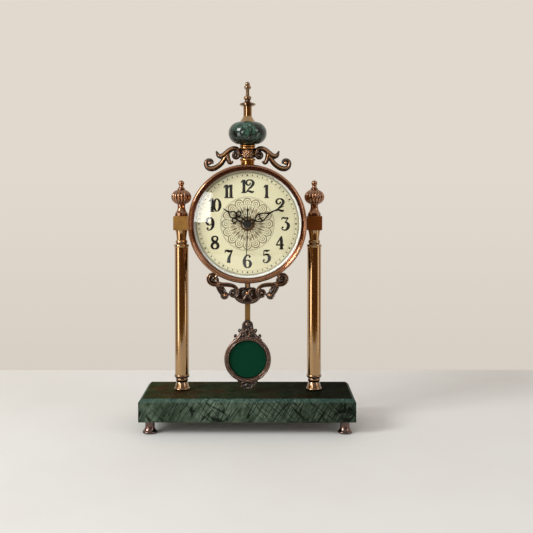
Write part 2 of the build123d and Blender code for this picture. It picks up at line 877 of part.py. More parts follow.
with BuildPart() as crest_collars:
    rim_bottom = collar_top - lower_collar_rim_height
    with BuildSketch(crest_front):
        outline(
            (bore_radius, head_height + drum_inner_radius),
            (lower_collar_radius, head_height + drum_inner_radius),
            (lower_collar_radius, rim_bottom),
            ((lower_collar_rim_radius, (rim_bottom + collar_top) / 2), (lower_collar_radius, collar_top)),
            (bore_radius, collar_top),
        )
    revolve(axis=crest_axis)
    with BuildSketch(head_front):
        Circle(drum_radius + seat_clearance / 2)
    extrude(amount=slab_depth, both=True, mode=Mode.SUBTRACT)
    groove = boss_top + upper_collar_height / 2
    with BuildSketch(crest_front):
        outline(
            (bore_radius, boss_top),
            (upper_collar_radius - upper_collar_groove, boss_top),
            ((upper_collar_radius, (boss_top + groove) / 2),
             (upper_collar_radius - upper_collar_groove, groove)),
            ((upper_collar_radius, (groove + ball_bottom) / 2),
             (upper_collar_radius - upper_collar_groove, ball_bottom)),
            (bore_radius, ball_bottom),
        )
    revolve(axis=crest_axis)
save(crest_collars, "crest_collars")

with BuildPart() as marble_ball:
    ball_centre = (ball_bottom + ball_top) / 2
    with BuildSketch(crest_front):
        with Locations((ball_seat_radius, ball_centre)):
            Ellipse(ball_radius - ball_seat_radius, ball_height / 2)
        with Locations((ball_seat_radius / 2, ball_centre)):
            Rectangle(ball_seat_radius, ball_height)
        with Locations(((bore_radius + 2 * ball_radius) / 2, ball_centre)):
            Rectangle(2 * ball_radius - bore_radius, ball_height, mode=Mode.INTERSECT)
    revolve(axis=crest_axis)
save(marble_ball, "marble_ball")

with BuildPart() as spire_neck:
    flare_top = ball_top + spire_flare_height
    flare_middle = spire_tube_radius + (spire_flare_radius - spire_tube_radius) * spire_flare_share
    with BuildSketch(crest_front):
        outline(
            (bore_radius, ball_top),
            (spire_flare_radius, ball_top),
            ((flare_middle, flare_top - spire_flare_height / 2), (spire_tube_radius, flare_top)),
            (spire_tube_radius, spire_bottom),
            (bore_radius, spire_bottom),
        )
    revolve(axis=crest_axis)
save(spire_neck, "spire_neck")

with BuildPart() as spire:
    saucer_top = spire_bottom + saucer_height
    low_ball = saucer_top + spire_neck_height
    stem_bottom = low_ball + spire_low_ball_height
    high_ball = stem_bottom + spire_stem_height
    tip = high_ball + spire_high_ball_height
    tip_middle = tip + spire_tip_height - spire_tip_radius
    with BuildSketch(crest_front):
        outline(
            (0, spire_bottom),
            (saucer_foot_radius, spire_bottom),
            (saucer_radius, spire_bottom + saucer_height / 5),
            (saucer_radius, spire_bottom + saucer_height / 2),
            ((spire_neck_radius + spire_neck_flare, saucer_top - saucer_height / 5),
             (spire_neck_radius, saucer_top)),
            (spire_neck_radius, low_ball),
            ((spire_low_ball_radius, low_ball + spire_low_ball_height / 2), (spire_stem_radius, stem_bottom)),
            (spire_stem_radius, high_ball),
            ((spire_high_ball_radius, high_ball + spire_high_ball_height / 2), (spire_stem_radius, tip)),
            (sqrt(spire_tip_radius ** 2 - (tip_middle - tip) ** 2), tip),
            ((spire_tip_radius, tip_middle), (0, tip_middle + spire_tip_radius)),
        )
    revolve(axis=crest_axis)
    with BuildSketch(Plane(origin=(0, -crest_depth, spire_bottom))):
        Circle(rod_radius + screw_clearance)
    extrude(amount=spire_bore_depth, mode=Mode.SUBTRACT)
save(spire, "spire")

with BuildPart() as crest_rod:
    crest_rod_bottom = crest_washer_top - washer_thickness - nut_height - screw_clearance
    with BuildSketch(Plane(origin=(0, -crest_depth, crest_rod_bottom))):
        Circle(rod_radius)
    extrude(amount=spire_bottom + spire_bore_depth - screw_clearance - crest_rod_bottom)
save(crest_rod, "crest_rod")

# Apron: a casting of scrolls screwed to the drum. Its stations are x, height below the dial axis and width.
apron_arm = (
    (37.6, -71.2, 3.8), (31.0, -73.8, 4.2), (24.6, -72.8, 4.4), (18.2, -73.4, 4.0),
    (12.4, -76.6, 3.6), (10.6, -81.6, 3.0),
)
apron_leaf = ((38.0, -71.6, 3.6), (34.6, -76.0, 5.2), (30.6, -79.2, 4.2), (27.0, -81.0, 3.0))
apron_volute = (17.9, -80.5)
apron_volute_radius = 5.9
apron_volute_hole = 2.4
apron_curl = (25.7, -83.1)
apron_curl_radius = 3.9
apron_curl_hole = 1.5
apron_tip_drop = 94.2
apron_shoulder = (14.0, -86.0)
apron_shoulder_low = (8.6, -91.4)
apron_crown = (8.0, -78.0)
apron_crown_low = (12.6, -81.2)
apron_window = (6.8, -84.6)
apron_window_radius = 2.0
apron_diamond_drop = 81.8
apron_diamond_radius = 2.6

with BuildPart() as apron_scroll:
    apron_back_plane = head_front.offset(apron_front - apron_thickness)
    with BuildSketch(apron_back_plane):
        for stations in (apron_arm, apron_leaf):
            stroke(stations, mirrored=True)
        for side in (-1, 1):
            outline(
                (0, -apron_tip_drop),
                ((side * apron_shoulder_low[0], apron_shoulder_low[1]),
                 (side * apron_shoulder[0], apron_shoulder[1])),
                ((side * apron_crown_low[0], apron_crown_low[1]), (side * apron_crown[0], apron_crown[1])),
                (0, apron_crown[1]),
            )
            with Locations((side * apron_volute[0], apron_volute[1])):
                Circle(apron_volute_radius)
                Circle(apron_volute_hole, mode=Mode.SUBTRACT)
            with Locations((side * apron_curl[0], apron_curl[1])):
                Circle(apron_curl_radius)
                Circle(apron_curl_hole, mode=Mode.SUBTRACT)
            with Locations((side * apron_window[0], apron_window[1])):
                Circle(apron_window_radius, mode=Mode.SUBTRACT)
            with Locations((side * apron_loop_x, -apron_loop_drop)):
                Circle(apron_loop_radius)
                Circle(apron_loop_hole, mode=Mode.SUBTRACT)
        with Locations((0, -(drum_radius + apron_diamond_drop) / 2)):
            Rectangle(apron_post_width, apron_diamond_drop - drum_radius + drum_wall)
        for side in (-1, 1):
            lug_root = loop_direction * drum_radius
            lug_end = loop_direction * (drum_radius + apron_lug_reach)
            stroke((
                (side * lug_root.X, lug_root.Z, apron_lug_width),
                (side * lug_end.X, lug_end.Z, apron_lug_width),
            ))
        Circle(drum_radius + seat_clearance / 2, mode=Mode.SUBTRACT)
    extrude(amount=apron_thickness)
    with BuildSketch(head_front.offset(apron_front)):
        for stations in (apron_arm, apron_leaf):
            stroke(narrowed(stations), mirrored=True)
        with Locations((0, -apron_diamond_drop)):
            Circle(apron_diamond_radius)
        Circle(bezel_radius + seat_clearance, mode=Mode.SUBTRACT)
    extrude(amount=apron_ridge)
    for side in (-1, 1):
        outward = Vector(side * loop_direction.X, 0, loop_direction.Z)
        with BuildSketch(Plane(origin=Vector(0, -apron_middle, head_height), z_dir=outward)):
            Circle(screw_radius + screw_clearance)
        extrude(amount=head_seat + screw_length + screw_clearance, mode=Mode.SUBTRACT)
save(apron_scroll, "apron_scroll")

# Pendulum: lever with its pivot pin and magnet, flat rod, bob frame and green insert
with BuildPart() as pendulum_lever:
    pin_back = movement_inner_back - pivot_depth + running_clearance
    pin_front = movement_inner_front + pivot_depth - running_clearance
    lever_end = hook_drop + lever_width / 2
    with BuildSketch(head_front.offset(pin_back)):
        with Locations((0, -pivot_drop)):
            Circle(pivot_radius)
    extrude(amount=pin_front - pin_back)
    with BuildSketch(head_front.offset(lever_back)):
        with Locations((0, -pivot_drop)):
            Circle(lever_hub_radius)
        with Locations((0, -(pivot_drop + lever_end) / 2)):
            Rectangle(lever_width, lever_end - pivot_drop)
    extrude(amount=lever_thickness)
    with BuildSketch(head_front.offset(lever_back)):
        with Locations((0, -pivot_drop - magnet_drop)):
            Circle(magnet_radius)
    extrude(amount=magnet_front - lever_back)
    with BuildSketch(head_front.offset(lever_front)):
        with Locations((0, -hook_drop)):
            Circle(hook_radius)
    extrude(amount=hook_length)
save(pendulum_lever, "pendulum_lever")

with BuildPart() as pendulum_rod:
    rod_top = hook_height + rod_end_above_hook
    rod_bottom = bob_height + rod_seat_height
    with BuildSketch(Plane(origin=(0, -rod_back, 0), x_dir=(1, 0, 0), z_dir=front)):
        with Locations((0, (rod_top + rod_bottom) / 2)):
            Rectangle(rod_width, rod_top - rod_bottom)
        with Locations((0, hook_height)):
            Circle(hook_radius + hook_clearance, mode=Mode.SUBTRACT)
    extrude(amount=rod_thickness)
save(pendulum_rod, "pendulum_rod")

with BuildPart() as bob_frame:
    half = bob_depth / 2
    rope_outer = bob_radius - bob_rim_width
    rope_inner = rope_outer - bob_rope_width
    lip_front = half - insert_recess
    recess_radius = insert_radius + seat_clearance
    with BuildSketch(bob_side):
        outline(
            (-half, recess_radius),
            (-half, bob_radius),
            (half - bob_rope_rise, bob_radius),
            (half - bob_rope_rise, rope_outer),
            ((half, (rope_outer + rope_inner) / 2), (half - bob_rope_rise, rope_inner)),
            (lip_front, insert_visible_radius),
            (lip_front - insert_lip, insert_visible_radius),
            (lip_front - insert_lip, recess_radius),
        )
    revolve(axis=bob_axis)
    crest_back_plane = bob_front.offset(-bob_crest_thickness / 2)
    crest_top_half = bob_crest_ball_radius + bob_rim_width
    with BuildSketch(crest_back_plane):
        for side in (-1, 1):
            outline(
                (0, bob_crest_foot - bob_rim_width),
                (side * bob_crest_half_width, bob_crest_foot - bob_rim_width),
                ((side * bob_crest_waist[0], bob_crest_waist[1]),
                 (side * bob_crest_shoulder[0], bob_crest_shoulder[1])),
                (side * crest_top_half, bob_crest_ball_height),
                (0, bob_crest_ball_height),
            )
            outline(
                (0, -bob_radius + bob_rim_width),
                (side * drop_half_width, -bob_radius + bob_rim_width),
                (side * drop_shoulder[0], -drop_shoulder[1]),
                (0, -bob_drop),
            )
        outline(
            (-crest_top_half, bob_crest_ball_height),
            ((0, bob_crest_height), (crest_top_half, bob_crest_ball_height)),
        )
        for side in (-1, 1):
            for x, y, radius in bob_crest_curls:
                with Locations((side * x, y)):
                    Circle(radius)
            with Locations((side * bob_crest_window[0], bob_crest_window[1])):
                Circle(bob_crest_window_radius, mode=Mode.SUBTRACT)
        with Locations((0, -drop_eye_drop)):
            Circle(drop_eye_radius, mode=Mode.SUBTRACT)
        Circle(rope_outer, mode=Mode.SUBTRACT)
    extrude(amount=bob_crest_thickness)
    with BuildSketch(bob_front.offset(bob_crest_thickness / 2)):
        with Locations((0, bob_crest_ball_height)):
            Circle(bob_crest_ball_radius)
    extrude(amount=bob_rope_rise)
    seat_width = rod_width + 2 * rod_seat_clearance
    seat_depth = rod_thickness + 2 * rod_seat_clearance
    with BuildSketch(bob_front.offset(-seat_depth / 2)):
        with Locations((0, (rod_seat_height + bob_crest_height) / 2)):
            Rectangle(seat_width, bob_crest_height - rod_seat_height)
    extrude(amount=seat_depth, mode=Mode.SUBTRACT)
save(bob_frame, "bob_frame")

with BuildPart() as bob_insert:
    insert_front = bob_depth / 2 - insert_recess - insert_lip
    with BuildSketch(bob_front.offset(insert_front - insert_thickness)):
        Circle(insert_radius)
    extrude(amount=insert_thickness)
save(bob_insert, "bob_insert")


# Gear train. Layers are counted from the movement's back, and angles run anticlockwise from +X.
def layer(number):
    """Depth of the back of a gear layer in front of the column plane."""
    return movement_inner_back + gear_first_gap + number * gear_layer_pitch


def away(centre, distance, bearing):
    """Point at a distance and bearing from a centre."""
    return (centre[0] + distance * cos(bearing), centre[1] + distance * sin(bearing))


def meshed(phase, teeth, bearing, other_teeth):
    """Phase of a wheel that meshes with a wheel of this phase, on this bearing from it."""
    offset = (phase - bearing) * teeth / (2 * pi)
    return bearing + pi + (0.5 - offset) * 2 * pi / other_teeth


def involute(angle):
    return tan(angle) - angle


def gear(centre, teeth, module, phase):
    """Draw a toothed wheel whose first tooth points along the phase angle."""
    pitch_radius = teeth * module / 2
    base_radius = pitch_radius * cos(pressure_angle)
    tip_radius = pitch_radius + module * tooth_addendum
    root_radius = pitch_radius - module * tooth_dedendum
    pitch_half = pi / (2 * teeth) * (1 - tooth_slack)
    flank = []
    for radius in (root_radius, pitch_radius, tip_radius):
        roll = acos(min(1.0, base_radius / max(radius, base_radius)))
        flank.append((radius, pitch_half + involute(pressure_angle) - involute(roll)))
    flank[0] = (root_radius, min(flank[0][1], pitch_half * pitch_radius / root_radius))
    points = []
    for tooth in range(teeth):
        middle = phase + 2 * pi * tooth / teeth
        points += [away(centre, radius, middle - half) for radius, half in flank]
        points += [away(centre, radius, middle + half) for radius, half in reversed(flank)]
    with BuildLine() as path:
        Polyline(*points, close=True)
    make_face(path.edges())


def add_gear(number, centre, teeth, module, phase):
    """Add a toothed wheel in one gear layer to the part being built."""
    with BuildSketch(head_front.offset(layer(number))) as wheel:
        gear(centre, teeth, module, phase)
    extrude(wheel.sketch, amount=gear_thickness)


def add_arbor(centre, radius, back, front_end, mode=Mode.ADD):
    """Add or cut a round bar along the dial axis between two depths."""
    with BuildSketch(head_front.offset(back)) as bar:
        with Locations(centre):
            Circle(radius)
    extrude(bar.sketch, amount=front_end - back, mode=mode)


dial_centre = (0.0, 0.0)
third_centre = away(dial_centre, third_distance, third_bearing)
intermediate_centre = away(dial_centre, intermediate_distance, intermediate_bearing)
rotor_centre = away(intermediate_centre, rotor_distance, rotor_bearing)
motion_centre = away(dial_centre, motion_distance, motion_bearing)
setting_centre = away(motion_centre, setting_distance, setting_bearing)

third_wheel_phase = meshed(0, second_pinion_teeth, third_bearing, third_wheel_teeth)
centre_wheel_phase = meshed(0, third_pinion_teeth, third_bearing + pi, centre_wheel_teeth)
motion_wheel_phase = meshed(0, cannon_teeth, motion_bearing, motion_wheel_teeth)
hour_wheel_phase = meshed(0, motion_pinion_teeth, motion_bearing + pi, hour_wheel_teeth)
intermediate_pinion_phase = meshed(0, second_wheel_teeth, intermediate_bearing, intermediate_pinion_teeth)
rotor_phase = meshed(0, intermediate_wheel_teeth, rotor_bearing, rotor_teeth)
setting_phase = meshed(motion_wheel_phase, motion_wheel_teeth, setting_bearing, setting_teeth)

arbor_back = movement_inner_back - pivot_depth + running_clearance
arbor_front = movement_inner_front + pivot_depth - running_clearance

with BuildPart() as rotor:
    add_gear(0, rotor_centre, rotor_teeth, rotor_module, rotor_phase)
    add_arbor(rotor_centre, arbor_radius, arbor_back, arbor_front)
    magnet_back = layer(4) + gear_thickness / 2 - magnet_rotor_length / 2
    add_arbor(rotor_centre, magnet_rotor_radius, magnet_back, magnet_back + magnet_rotor_length)
save(rotor, "rotor")

with BuildPart() as intermediate_wheel:
    add_gear(0, intermediate_centre, intermediate_wheel_teeth, rotor_module, 0)
    add_gear(1, intermediate_centre, intermediate_pinion_teeth, intermediate_module,
             intermediate_pinion_phase)
    add_arbor(intermediate_centre, arbor_radius, arbor_back, arbor_front)
save(intermediate_wheel, "intermediate_wheel")

with BuildPart() as second_wheel:
    add_gear(1, dial_centre, second_wheel_teeth, intermediate_module, 0)
    add_gear(2, dial_centre, second_pinion_teeth, third_module, 0)
    add_arbor(dial_centre, arbor_radius, arbor_back, second_hand_back + cap_thickness / 2)
save(second_wheel, "second_wheel")

with BuildPart() as third_wheel:
    add_gear(2, third_centre, third_wheel_teeth, third_module, third_wheel_phase)
    add_gear(3, third_centre, third_pinion_teeth, centre_module, 0)
    add_arbor(third_centre, arbor_radius, arbor_back, arbor_front)
save(third_wheel, "third_wheel")

with BuildPart() as centre_wheel:
    sleeve_end = minute_hand_back + hand_thickness
    add_gear(3, dial_centre, centre_wheel_teeth, centre_module, centre_wheel_phase)
    add_gear(4, dial_centre, cannon_teeth, motion_module, 0)
    add_arbor(dial_centre, minute_sleeve_radius, layer(3), sleeve_end)
    add_arbor(dial_centre, minute_sleeve_bore, layer(3), sleeve_end, Mode.SUBTRACT)
save(centre_wheel, "centre_wheel")

with BuildPart() as motion_wheel:
    add_gear(4, motion_centre, motion_wheel_teeth, motion_module, motion_wheel_phase)
    add_gear(5, motion_centre, motion_pinion_teeth, hour_module, 0)
    add_arbor(motion_centre, motion_hub_radius, layer(4), layer(5) + gear_thickness)
    add_arbor(motion_centre, motion_post_radius + running_clearance, layer(4), layer(6), Mode.SUBTRACT)
save(motion_wheel, "motion_wheel")

with BuildPart() as hour_wheel:
    hour_sleeve_end = hour_hand_back + hand_thickness
    add_gear(5, dial_centre, hour_wheel_teeth, hour_module, hour_wheel_phase)
    add_arbor(dial_centre, hour_sleeve_radius, layer(5), hour_sleeve_end)
    add_arbor(dial_centre, hour_sleeve_bore, layer(5), hour_sleeve_end, Mode.SUBTRACT)
save(hour_wheel, "hour_wheel")

with BuildPart() as set_knob:
    knob_front = movement_back - setting_knob_gap
    add_gear(4, setting_centre, setting_teeth, motion_module, setting_phase)
    add_arbor(setting_centre, setting_arbor_radius, knob_front, arbor_front)
    add_arbor(setting_centre, setting_knob_radius, knob_front - setting_knob_length, knob_front)
save(set_knob, "set_knob")

# Movement case with its stem, shelves, posts and pivot holes, and its cover
shelf_half = battery_radius + battery_clearance
stator_back = layer(4) + (gear_thickness - stator_thickness) / 2
stator_posts = (
    (-stator_left + post_radius, stator_bar_rise),
    (stator_right - post_radius, stator_bar_rise),
)
lever_slot_half = (movement_fall - pivot_drop) * tan(radians(swing_limit)) + lever_width / 2 + slot_clearance

with BuildPart() as movement_case:
    with BuildSketch(head_front.offset(movement_inner_back)):
        with Locations((0, movement_middle)):
            Rectangle(movement_width, movement_rise + movement_fall)
    extrude(amount=dial_back - movement_inner_back)
    with BuildSketch(head_front.offset(movement_inner_back)):
        with Locations((0, movement_middle)):
            Rectangle(movement_inner_width, movement_inner_height)
    extrude(amount=movement_inner_front - movement_inner_back, mode=Mode.SUBTRACT)
    with BuildSketch(head_front.offset(movement_inner_back)):
        for side in (-1, 1):
            with Locations((0, -battery_drop + side * (shelf_half + shelf_thickness / 2))):
                Rectangle(movement_inner_width, shelf_thickness)
    extrude(amount=movement_inner_front - movement_inner_back)
    for post in stator_posts:
        add_arbor(post, post_radius, stator_back + stator_thickness, movement_inner_front)
    add_arbor(motion_centre, motion_post_radius, layer(4) - running_clearance, movement_inner_front)
    add_arbor(dial_centre, stem_radius, movement_inner_front, stem_front)
    add_arbor(dial_centre, stem_bore, movement_inner_front, stem_front, Mode.SUBTRACT)
    for centre in (rotor_centre, intermediate_centre, third_centre):
        add_arbor(centre, arbor_radius + running_clearance, movement_inner_front,
                  movement_inner_front + pivot_depth, Mode.SUBTRACT)
    add_arbor(setting_centre, setting_arbor_radius + running_clearance, movement_inner_front,
              movement_inner_front + pivot_depth, Mode.SUBTRACT)
    add_arbor((0, -pivot_drop), pivot_radius + pivot_clearance, movement_inner_front,
              movement_inner_front + pivot_depth, Mode.SUBTRACT)
    with BuildSketch(Plane(origin=(0, -(lever_back + magnet_front) / 2, head_height - movement_fall))):
        Rectangle(2 * lever_slot_half, magnet_front - lever_back + 2 * slot_clearance)
    extrude(amount=movement_wall, mode=Mode.SUBTRACT)
save(movement_case, "movement_case")

with BuildPart() as movement_cover:
    with BuildSketch(head_front.offset(movement_back)):
        with Locations((0, movement_middle)):
            Rectangle(movement_width, movement_rise + movement_fall)
        with Locations((0, -battery_drop)):
            Rectangle(battery_length + 2 * battery_nub_length, 2 * shelf_half, mode=Mode.SUBTRACT)
        with Locations(setting_centre):
            Circle(setting_arbor_radius + running_clearance, mode=Mode.SUBTRACT)
    extrude(amount=movement_wall)
    for centre in (dial_centre, rotor_centre, intermediate_centre, third_centre):
        add_arbor(centre, arbor_radius + running_clearance, movement_inner_back - pivot_depth,
                  movement_inner_back, Mode.SUBTRACT)
    add_arbor((0, -pivot_drop), pivot_radius + pivot_clearance, movement_inner_back - pivot_depth,
              movement_inner_back, Mode.SUBTRACT)
save(movement_cover, "movement_cover")

with BuildPart() as stem_nut:
    with BuildSketch(head_front.offset(dial_front)):
        RegularPolygon(stem_nut_width / 2, 6, major_radius=False)
        Circle(stem_radius + stem_clearance / 2, mode=Mode.SUBTRACT)
    extrude(amount=stem_nut_height)
save(stem_nut, "stem_nut")

# Cell, contacts, circuit board and coils
battery_depth = (movement_inner_back + movement_inner_front) / 2
battery_height = head_height - battery_drop
battery_left = -(battery_length + battery_nub_length) / 2

with BuildPart() as battery:
    cell_end = Plane(origin=(battery_left, -battery_depth, battery_height), z_dir=(1, 0, 0))
    with BuildSketch(cell_end):
        Circle(battery_radius)
    extrude(amount=battery_length)
    with BuildSketch(cell_end):
        Circle(battery_nub_radius)
    extrude(amount=battery_length + battery_nub_length)
save(battery, "battery")

with BuildPart() as circuit_board:
    wall_x = movement_inner_width / 2
    with BuildSketch(head_front.offset(board_depth)):
        with Locations((-wall_x + board_width / 2, 0)):
            Rectangle(board_width, board_height)
    extrude(amount=board_thickness)
    contact_thickness = wall_x + battery_left - battery_clearance
    for side in (-1, 1):
        with BuildSketch(head_front.offset(battery_depth - contact_width / 2)):
            with Locations((side * (wall_x - contact_thickness / 2), -battery_drop)):
                Rectangle(contact_thickness, contact_height)
        extrude(amount=contact_width)
save(circuit_board, "circuit_board")

with BuildPart() as stepping_motor:
    bar_middle = (stator_right - stator_left) / 2
    with BuildSketch(head_front.offset(stator_back)):
        with Locations((bar_middle, stator_bar_rise)):
            Rectangle(stator_left + stator_right, stator_bar_width)
        with Locations(rotor_centre):
            Circle(stator_eye_radius)
            Circle(magnet_rotor_radius + stator_gap, mode=Mode.SUBTRACT)
    extrude(amount=stator_thickness)
    stator_middle = stator_back + stator_thickness / 2
    coil_end = Plane(
        origin=(motor_coil_shift - motor_coil_length / 2, -stator_middle, head_height + stator_bar_rise),
        x_dir=vertical,
        z_dir=(1, 0, 0),
    )
    with BuildSketch(coil_end):
        Rectangle(motor_coil_width, motor_coil_depth)
        Rectangle(stator_bar_width + 2 * coil_slack, stator_thickness + 2 * coil_slack, mode=Mode.SUBTRACT)
    extrude(amount=motor_coil_length)
save(stepping_motor, "stepping_motor")

with BuildPart() as drive_coil:
    with BuildSketch(head_front.offset(magnet_front + drive_coil_gap)):
        with Locations((0, -pivot_drop - magnet_drop)):
            Circle(drive_coil_radius)
            Circle(drive_coil_bore, mode=Mode.SUBTRACT)
    extrude(amount=movement_inner_front - magnet_front - drive_coil_gap)
save(drive_coil, "drive_coil")


# Hands, drawn along their own length and turned to the time that they show
def hand_plane(angle, back):
    return Plane(origin=(0, -back, head_height), x_dir=(sin(angle), 0, cos(angle)), z_dir=front)


def band(*points):
    """Draw a thin bar through these points, and its mirror image across the hand's length."""
    for side in (-1, 1):
        stroke(tuple((x, side * y, hand_bar) for x, y in points))


def spear(start, length):
    """Draw a hand's pointed end."""
    outline(
        (start, -spear_width / 2),
        (length, -spear_tip_width / 2),
        (length, spear_tip_width / 2),
        (start, spear_width / 2),
    )


# Stations are a distance along the hand from its hub and a distance from its middle line
hour_ring_reach = 14.7
hour_ring_offset = 4.4
hour_ring_radius = 3.4
hour_stem = ((2.6, 1.0), (7.0, 2.4), (10.5, 2.4), (13.2, 1.1), (hour_ring_reach, 0.2))
hour_heart = ((hour_ring_reach, 0.3), (17.0, 2.3), (20.4, 3.7), (22.8, 2.2), (25.6, 0.3))
hour_spear_start = 24.6
minute_lobe = (18.7, 4.3)
minute_stem = ((2.6, 0.9), (7.2, 1.9), (10.3, 0.2))
minute_cup = ((10.3, 0.3), (11.6, 2.3), (14.2, 3.7), minute_lobe)
minute_curl = (minute_lobe, (17.0, 2.4), (16.3, 0.2))
minute_heart = (minute_lobe, (22.6, 2.8), (26.6, 0.9), (28.5, 0.2))
minute_diamond = ((25.4, 0), (28.2, -1.6), (31.4, 0), (28.2, 1.6))
minute_spear_start = 27.5
spear_width = 2.2
spear_tip_width = 0.8

with BuildPart() as hour_hand:
    with BuildSketch(hand_plane(hour_hand_angle, hour_hand_back)):
        for stations in (hour_stem, hour_heart):
            band(*stations)
        for side in (-1, 1):
            with Locations((hour_ring_reach, side * hour_ring_offset)):
                Circle(hour_ring_radius)
                Circle(hour_ring_radius - hand_bar, mode=Mode.SUBTRACT)
        with Locations((hour_ring_reach, 0)):
            Circle(hand_bar)
        spear(hour_spear_start, hour_hand_length)
        Circle(hub_radius)
        Circle(hour_sleeve_radius, mode=Mode.SUBTRACT)
    extrude(amount=hand_thickness)
save(hour_hand, "hour_hand")

with BuildPart() as minute_hand:
    with BuildSketch(hand_plane(minute_hand_angle, minute_hand_back)):
        for stations in (minute_stem, minute_cup, minute_curl, minute_heart):
            band(*stations)
        outline(*minute_diamond)
        spear(minute_spear_start, minute_hand_length)
        Circle(hub_radius)
        Circle(minute_sleeve_radius, mode=Mode.SUBTRACT)
    extrude(amount=hand_thickness)
save(minute_hand, "minute_hand")

with BuildPart() as second_hand:
    with BuildSketch(hand_plane(second_hand_angle, second_hand_back)):
        with Locations(((second_hand_length - second_tail_length) / 2, 0)):
            Rectangle(second_hand_length + second_tail_length, second_hand_width)
        with Locations((-second_tail_length / 2, 0)):
            Rectangle(second_tail_length, second_tail_width)
        with Locations((-second_tail_length, 0)):
            Circle(second_tail_ball)
    extrude(amount=hand_thickness)
    with BuildSketch(hand_plane(second_hand_angle, second_hand_back)):
        Circle(cap_radius)
    extrude(amount=cap_thickness)
    with BuildSketch(hand_plane(second_hand_angle, second_hand_back)):
        Circle(arbor_radius)
    extrude(amount=cap_thickness / 2, mode=Mode.SUBTRACT)
save(second_hand, "second_hand")
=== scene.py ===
"""Castings, dial print, finishes and stage of a desk pendulum clock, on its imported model."""
import itertools
import math

import bpy
from bpy.props import FloatProperty, FloatVectorProperty, IntProperty, PointerProperty
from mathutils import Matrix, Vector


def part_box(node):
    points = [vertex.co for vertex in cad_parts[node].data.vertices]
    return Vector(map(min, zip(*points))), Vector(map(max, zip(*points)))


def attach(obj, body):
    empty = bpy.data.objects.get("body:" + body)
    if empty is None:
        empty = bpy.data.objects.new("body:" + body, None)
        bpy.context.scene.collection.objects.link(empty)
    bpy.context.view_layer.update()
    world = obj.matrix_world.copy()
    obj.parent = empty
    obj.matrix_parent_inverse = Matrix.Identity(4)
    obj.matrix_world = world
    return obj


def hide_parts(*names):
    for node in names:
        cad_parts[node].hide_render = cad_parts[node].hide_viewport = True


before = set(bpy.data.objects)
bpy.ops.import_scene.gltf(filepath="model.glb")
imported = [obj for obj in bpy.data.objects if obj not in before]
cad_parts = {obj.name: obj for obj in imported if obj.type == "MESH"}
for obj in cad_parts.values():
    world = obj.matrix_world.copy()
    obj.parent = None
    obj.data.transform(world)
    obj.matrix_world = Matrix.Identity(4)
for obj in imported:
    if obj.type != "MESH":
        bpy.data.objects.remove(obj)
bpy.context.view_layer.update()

bl_info = {
    "name": "Desk Pendulum Clock",
    "version": (1, 0, 0),
    "blender": (4, 5, 0),
    "location": "View3D > Sidebar > Desk Clock",
    "description": "Shapes the castings and the dial print of a desk pendulum clock and sets its finishes",
    "category": "Object",
}

MM = 0.001
SIDES = (-1, 1)
MERGE_DISTANCE = 0.000002

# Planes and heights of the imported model, in millimetres
HEAD_HEIGHT = 242.0
CREST_PLANE = -10.0
CREST_HEIGHT = 318.2
APRON_PLANE = -20.3
BOB_HEIGHT = 82.2
BOB_PLANE = -16.0
DIAL_FRONT = -25.0

# Radii that the dark line on the ring and the painted shade on the bezel lie between, in millimetres, and the
# sides that the painted shade on the ring and on the bezel leans to
RING_LINE = (60.0, 60.5)
RING_SHADE_SIDE = (-0.45, 0.0, 0.89)
BEZEL_SHADE = (64.3, 65.5)
BEZEL_SHADE_SHIFT = 1.7
BEZEL_SHADE_SIDE = (0.1, 0.0, 0.99)

# Bores for the tie rods in the slab, in metres: distance from the middle, then radius, bottom and top of each
ROD_REACH = 0.079
ROD_BORES = ((0.008, -0.001, 0.0065), (0.0024, 0.005, 0.03))


def linear(red, green, blue):
    """Turn a screen colour of 0 to 255 into the light values that shaders use."""
    values = []
    for part in (red, green, blue):
        share = part / 255
        values.append(share / 12.92 if share <= 0.04045 else ((share + 0.055) / 1.055) ** 2.4)
    return tuple(values)


def length(name, description, default):
    """A length in metres that a user may change."""
    return FloatProperty(name=name, description=description, default=default,
                         min=0.0, precision=5, unit="LENGTH")


def tint(name, description, screen):
    """A colour that a user may change, given as a screen colour."""
    return FloatVectorProperty(name=name, description=description, default=linear(*screen),
                               min=0.0, max=1.0, size=3, subtype="COLOR")


class ClockSizes(bpy.types.PropertyGroup):
    """Sizes of the pieces that are shaped here."""

    slab_chamfer: length("Slab chamfer", "Width of the chamfer round the top of the slab", 0.004)
    slab_round: length("Slab edge", "Radius of the slab's polished edges", 0.0006)
    numeral_height: length("Numeral height", "Height of the numerals on the dial", 0.0155)
    numeral_circle: length("Numeral circle", "Radius of the circle that the numerals stand on", 0.0435)
    track_inner: length("Minute track inside", "Radius of the inner line of the minute track", 0.0545)
    track_outer: length("Minute track outside", "Radius of the outer line of the minute track", 0.0579)
    medallion_radius: length("Medallion radius", "Radius of the ornament in the middle of the dial", 0.0312)
    casting_grain: length("Casting grain", "Finest detail that the castings keep", 0.00036)
    rope_turns: IntProperty(name="Rope turns", description="Strands in the rope band round the bob",
                            default=72, min=12)


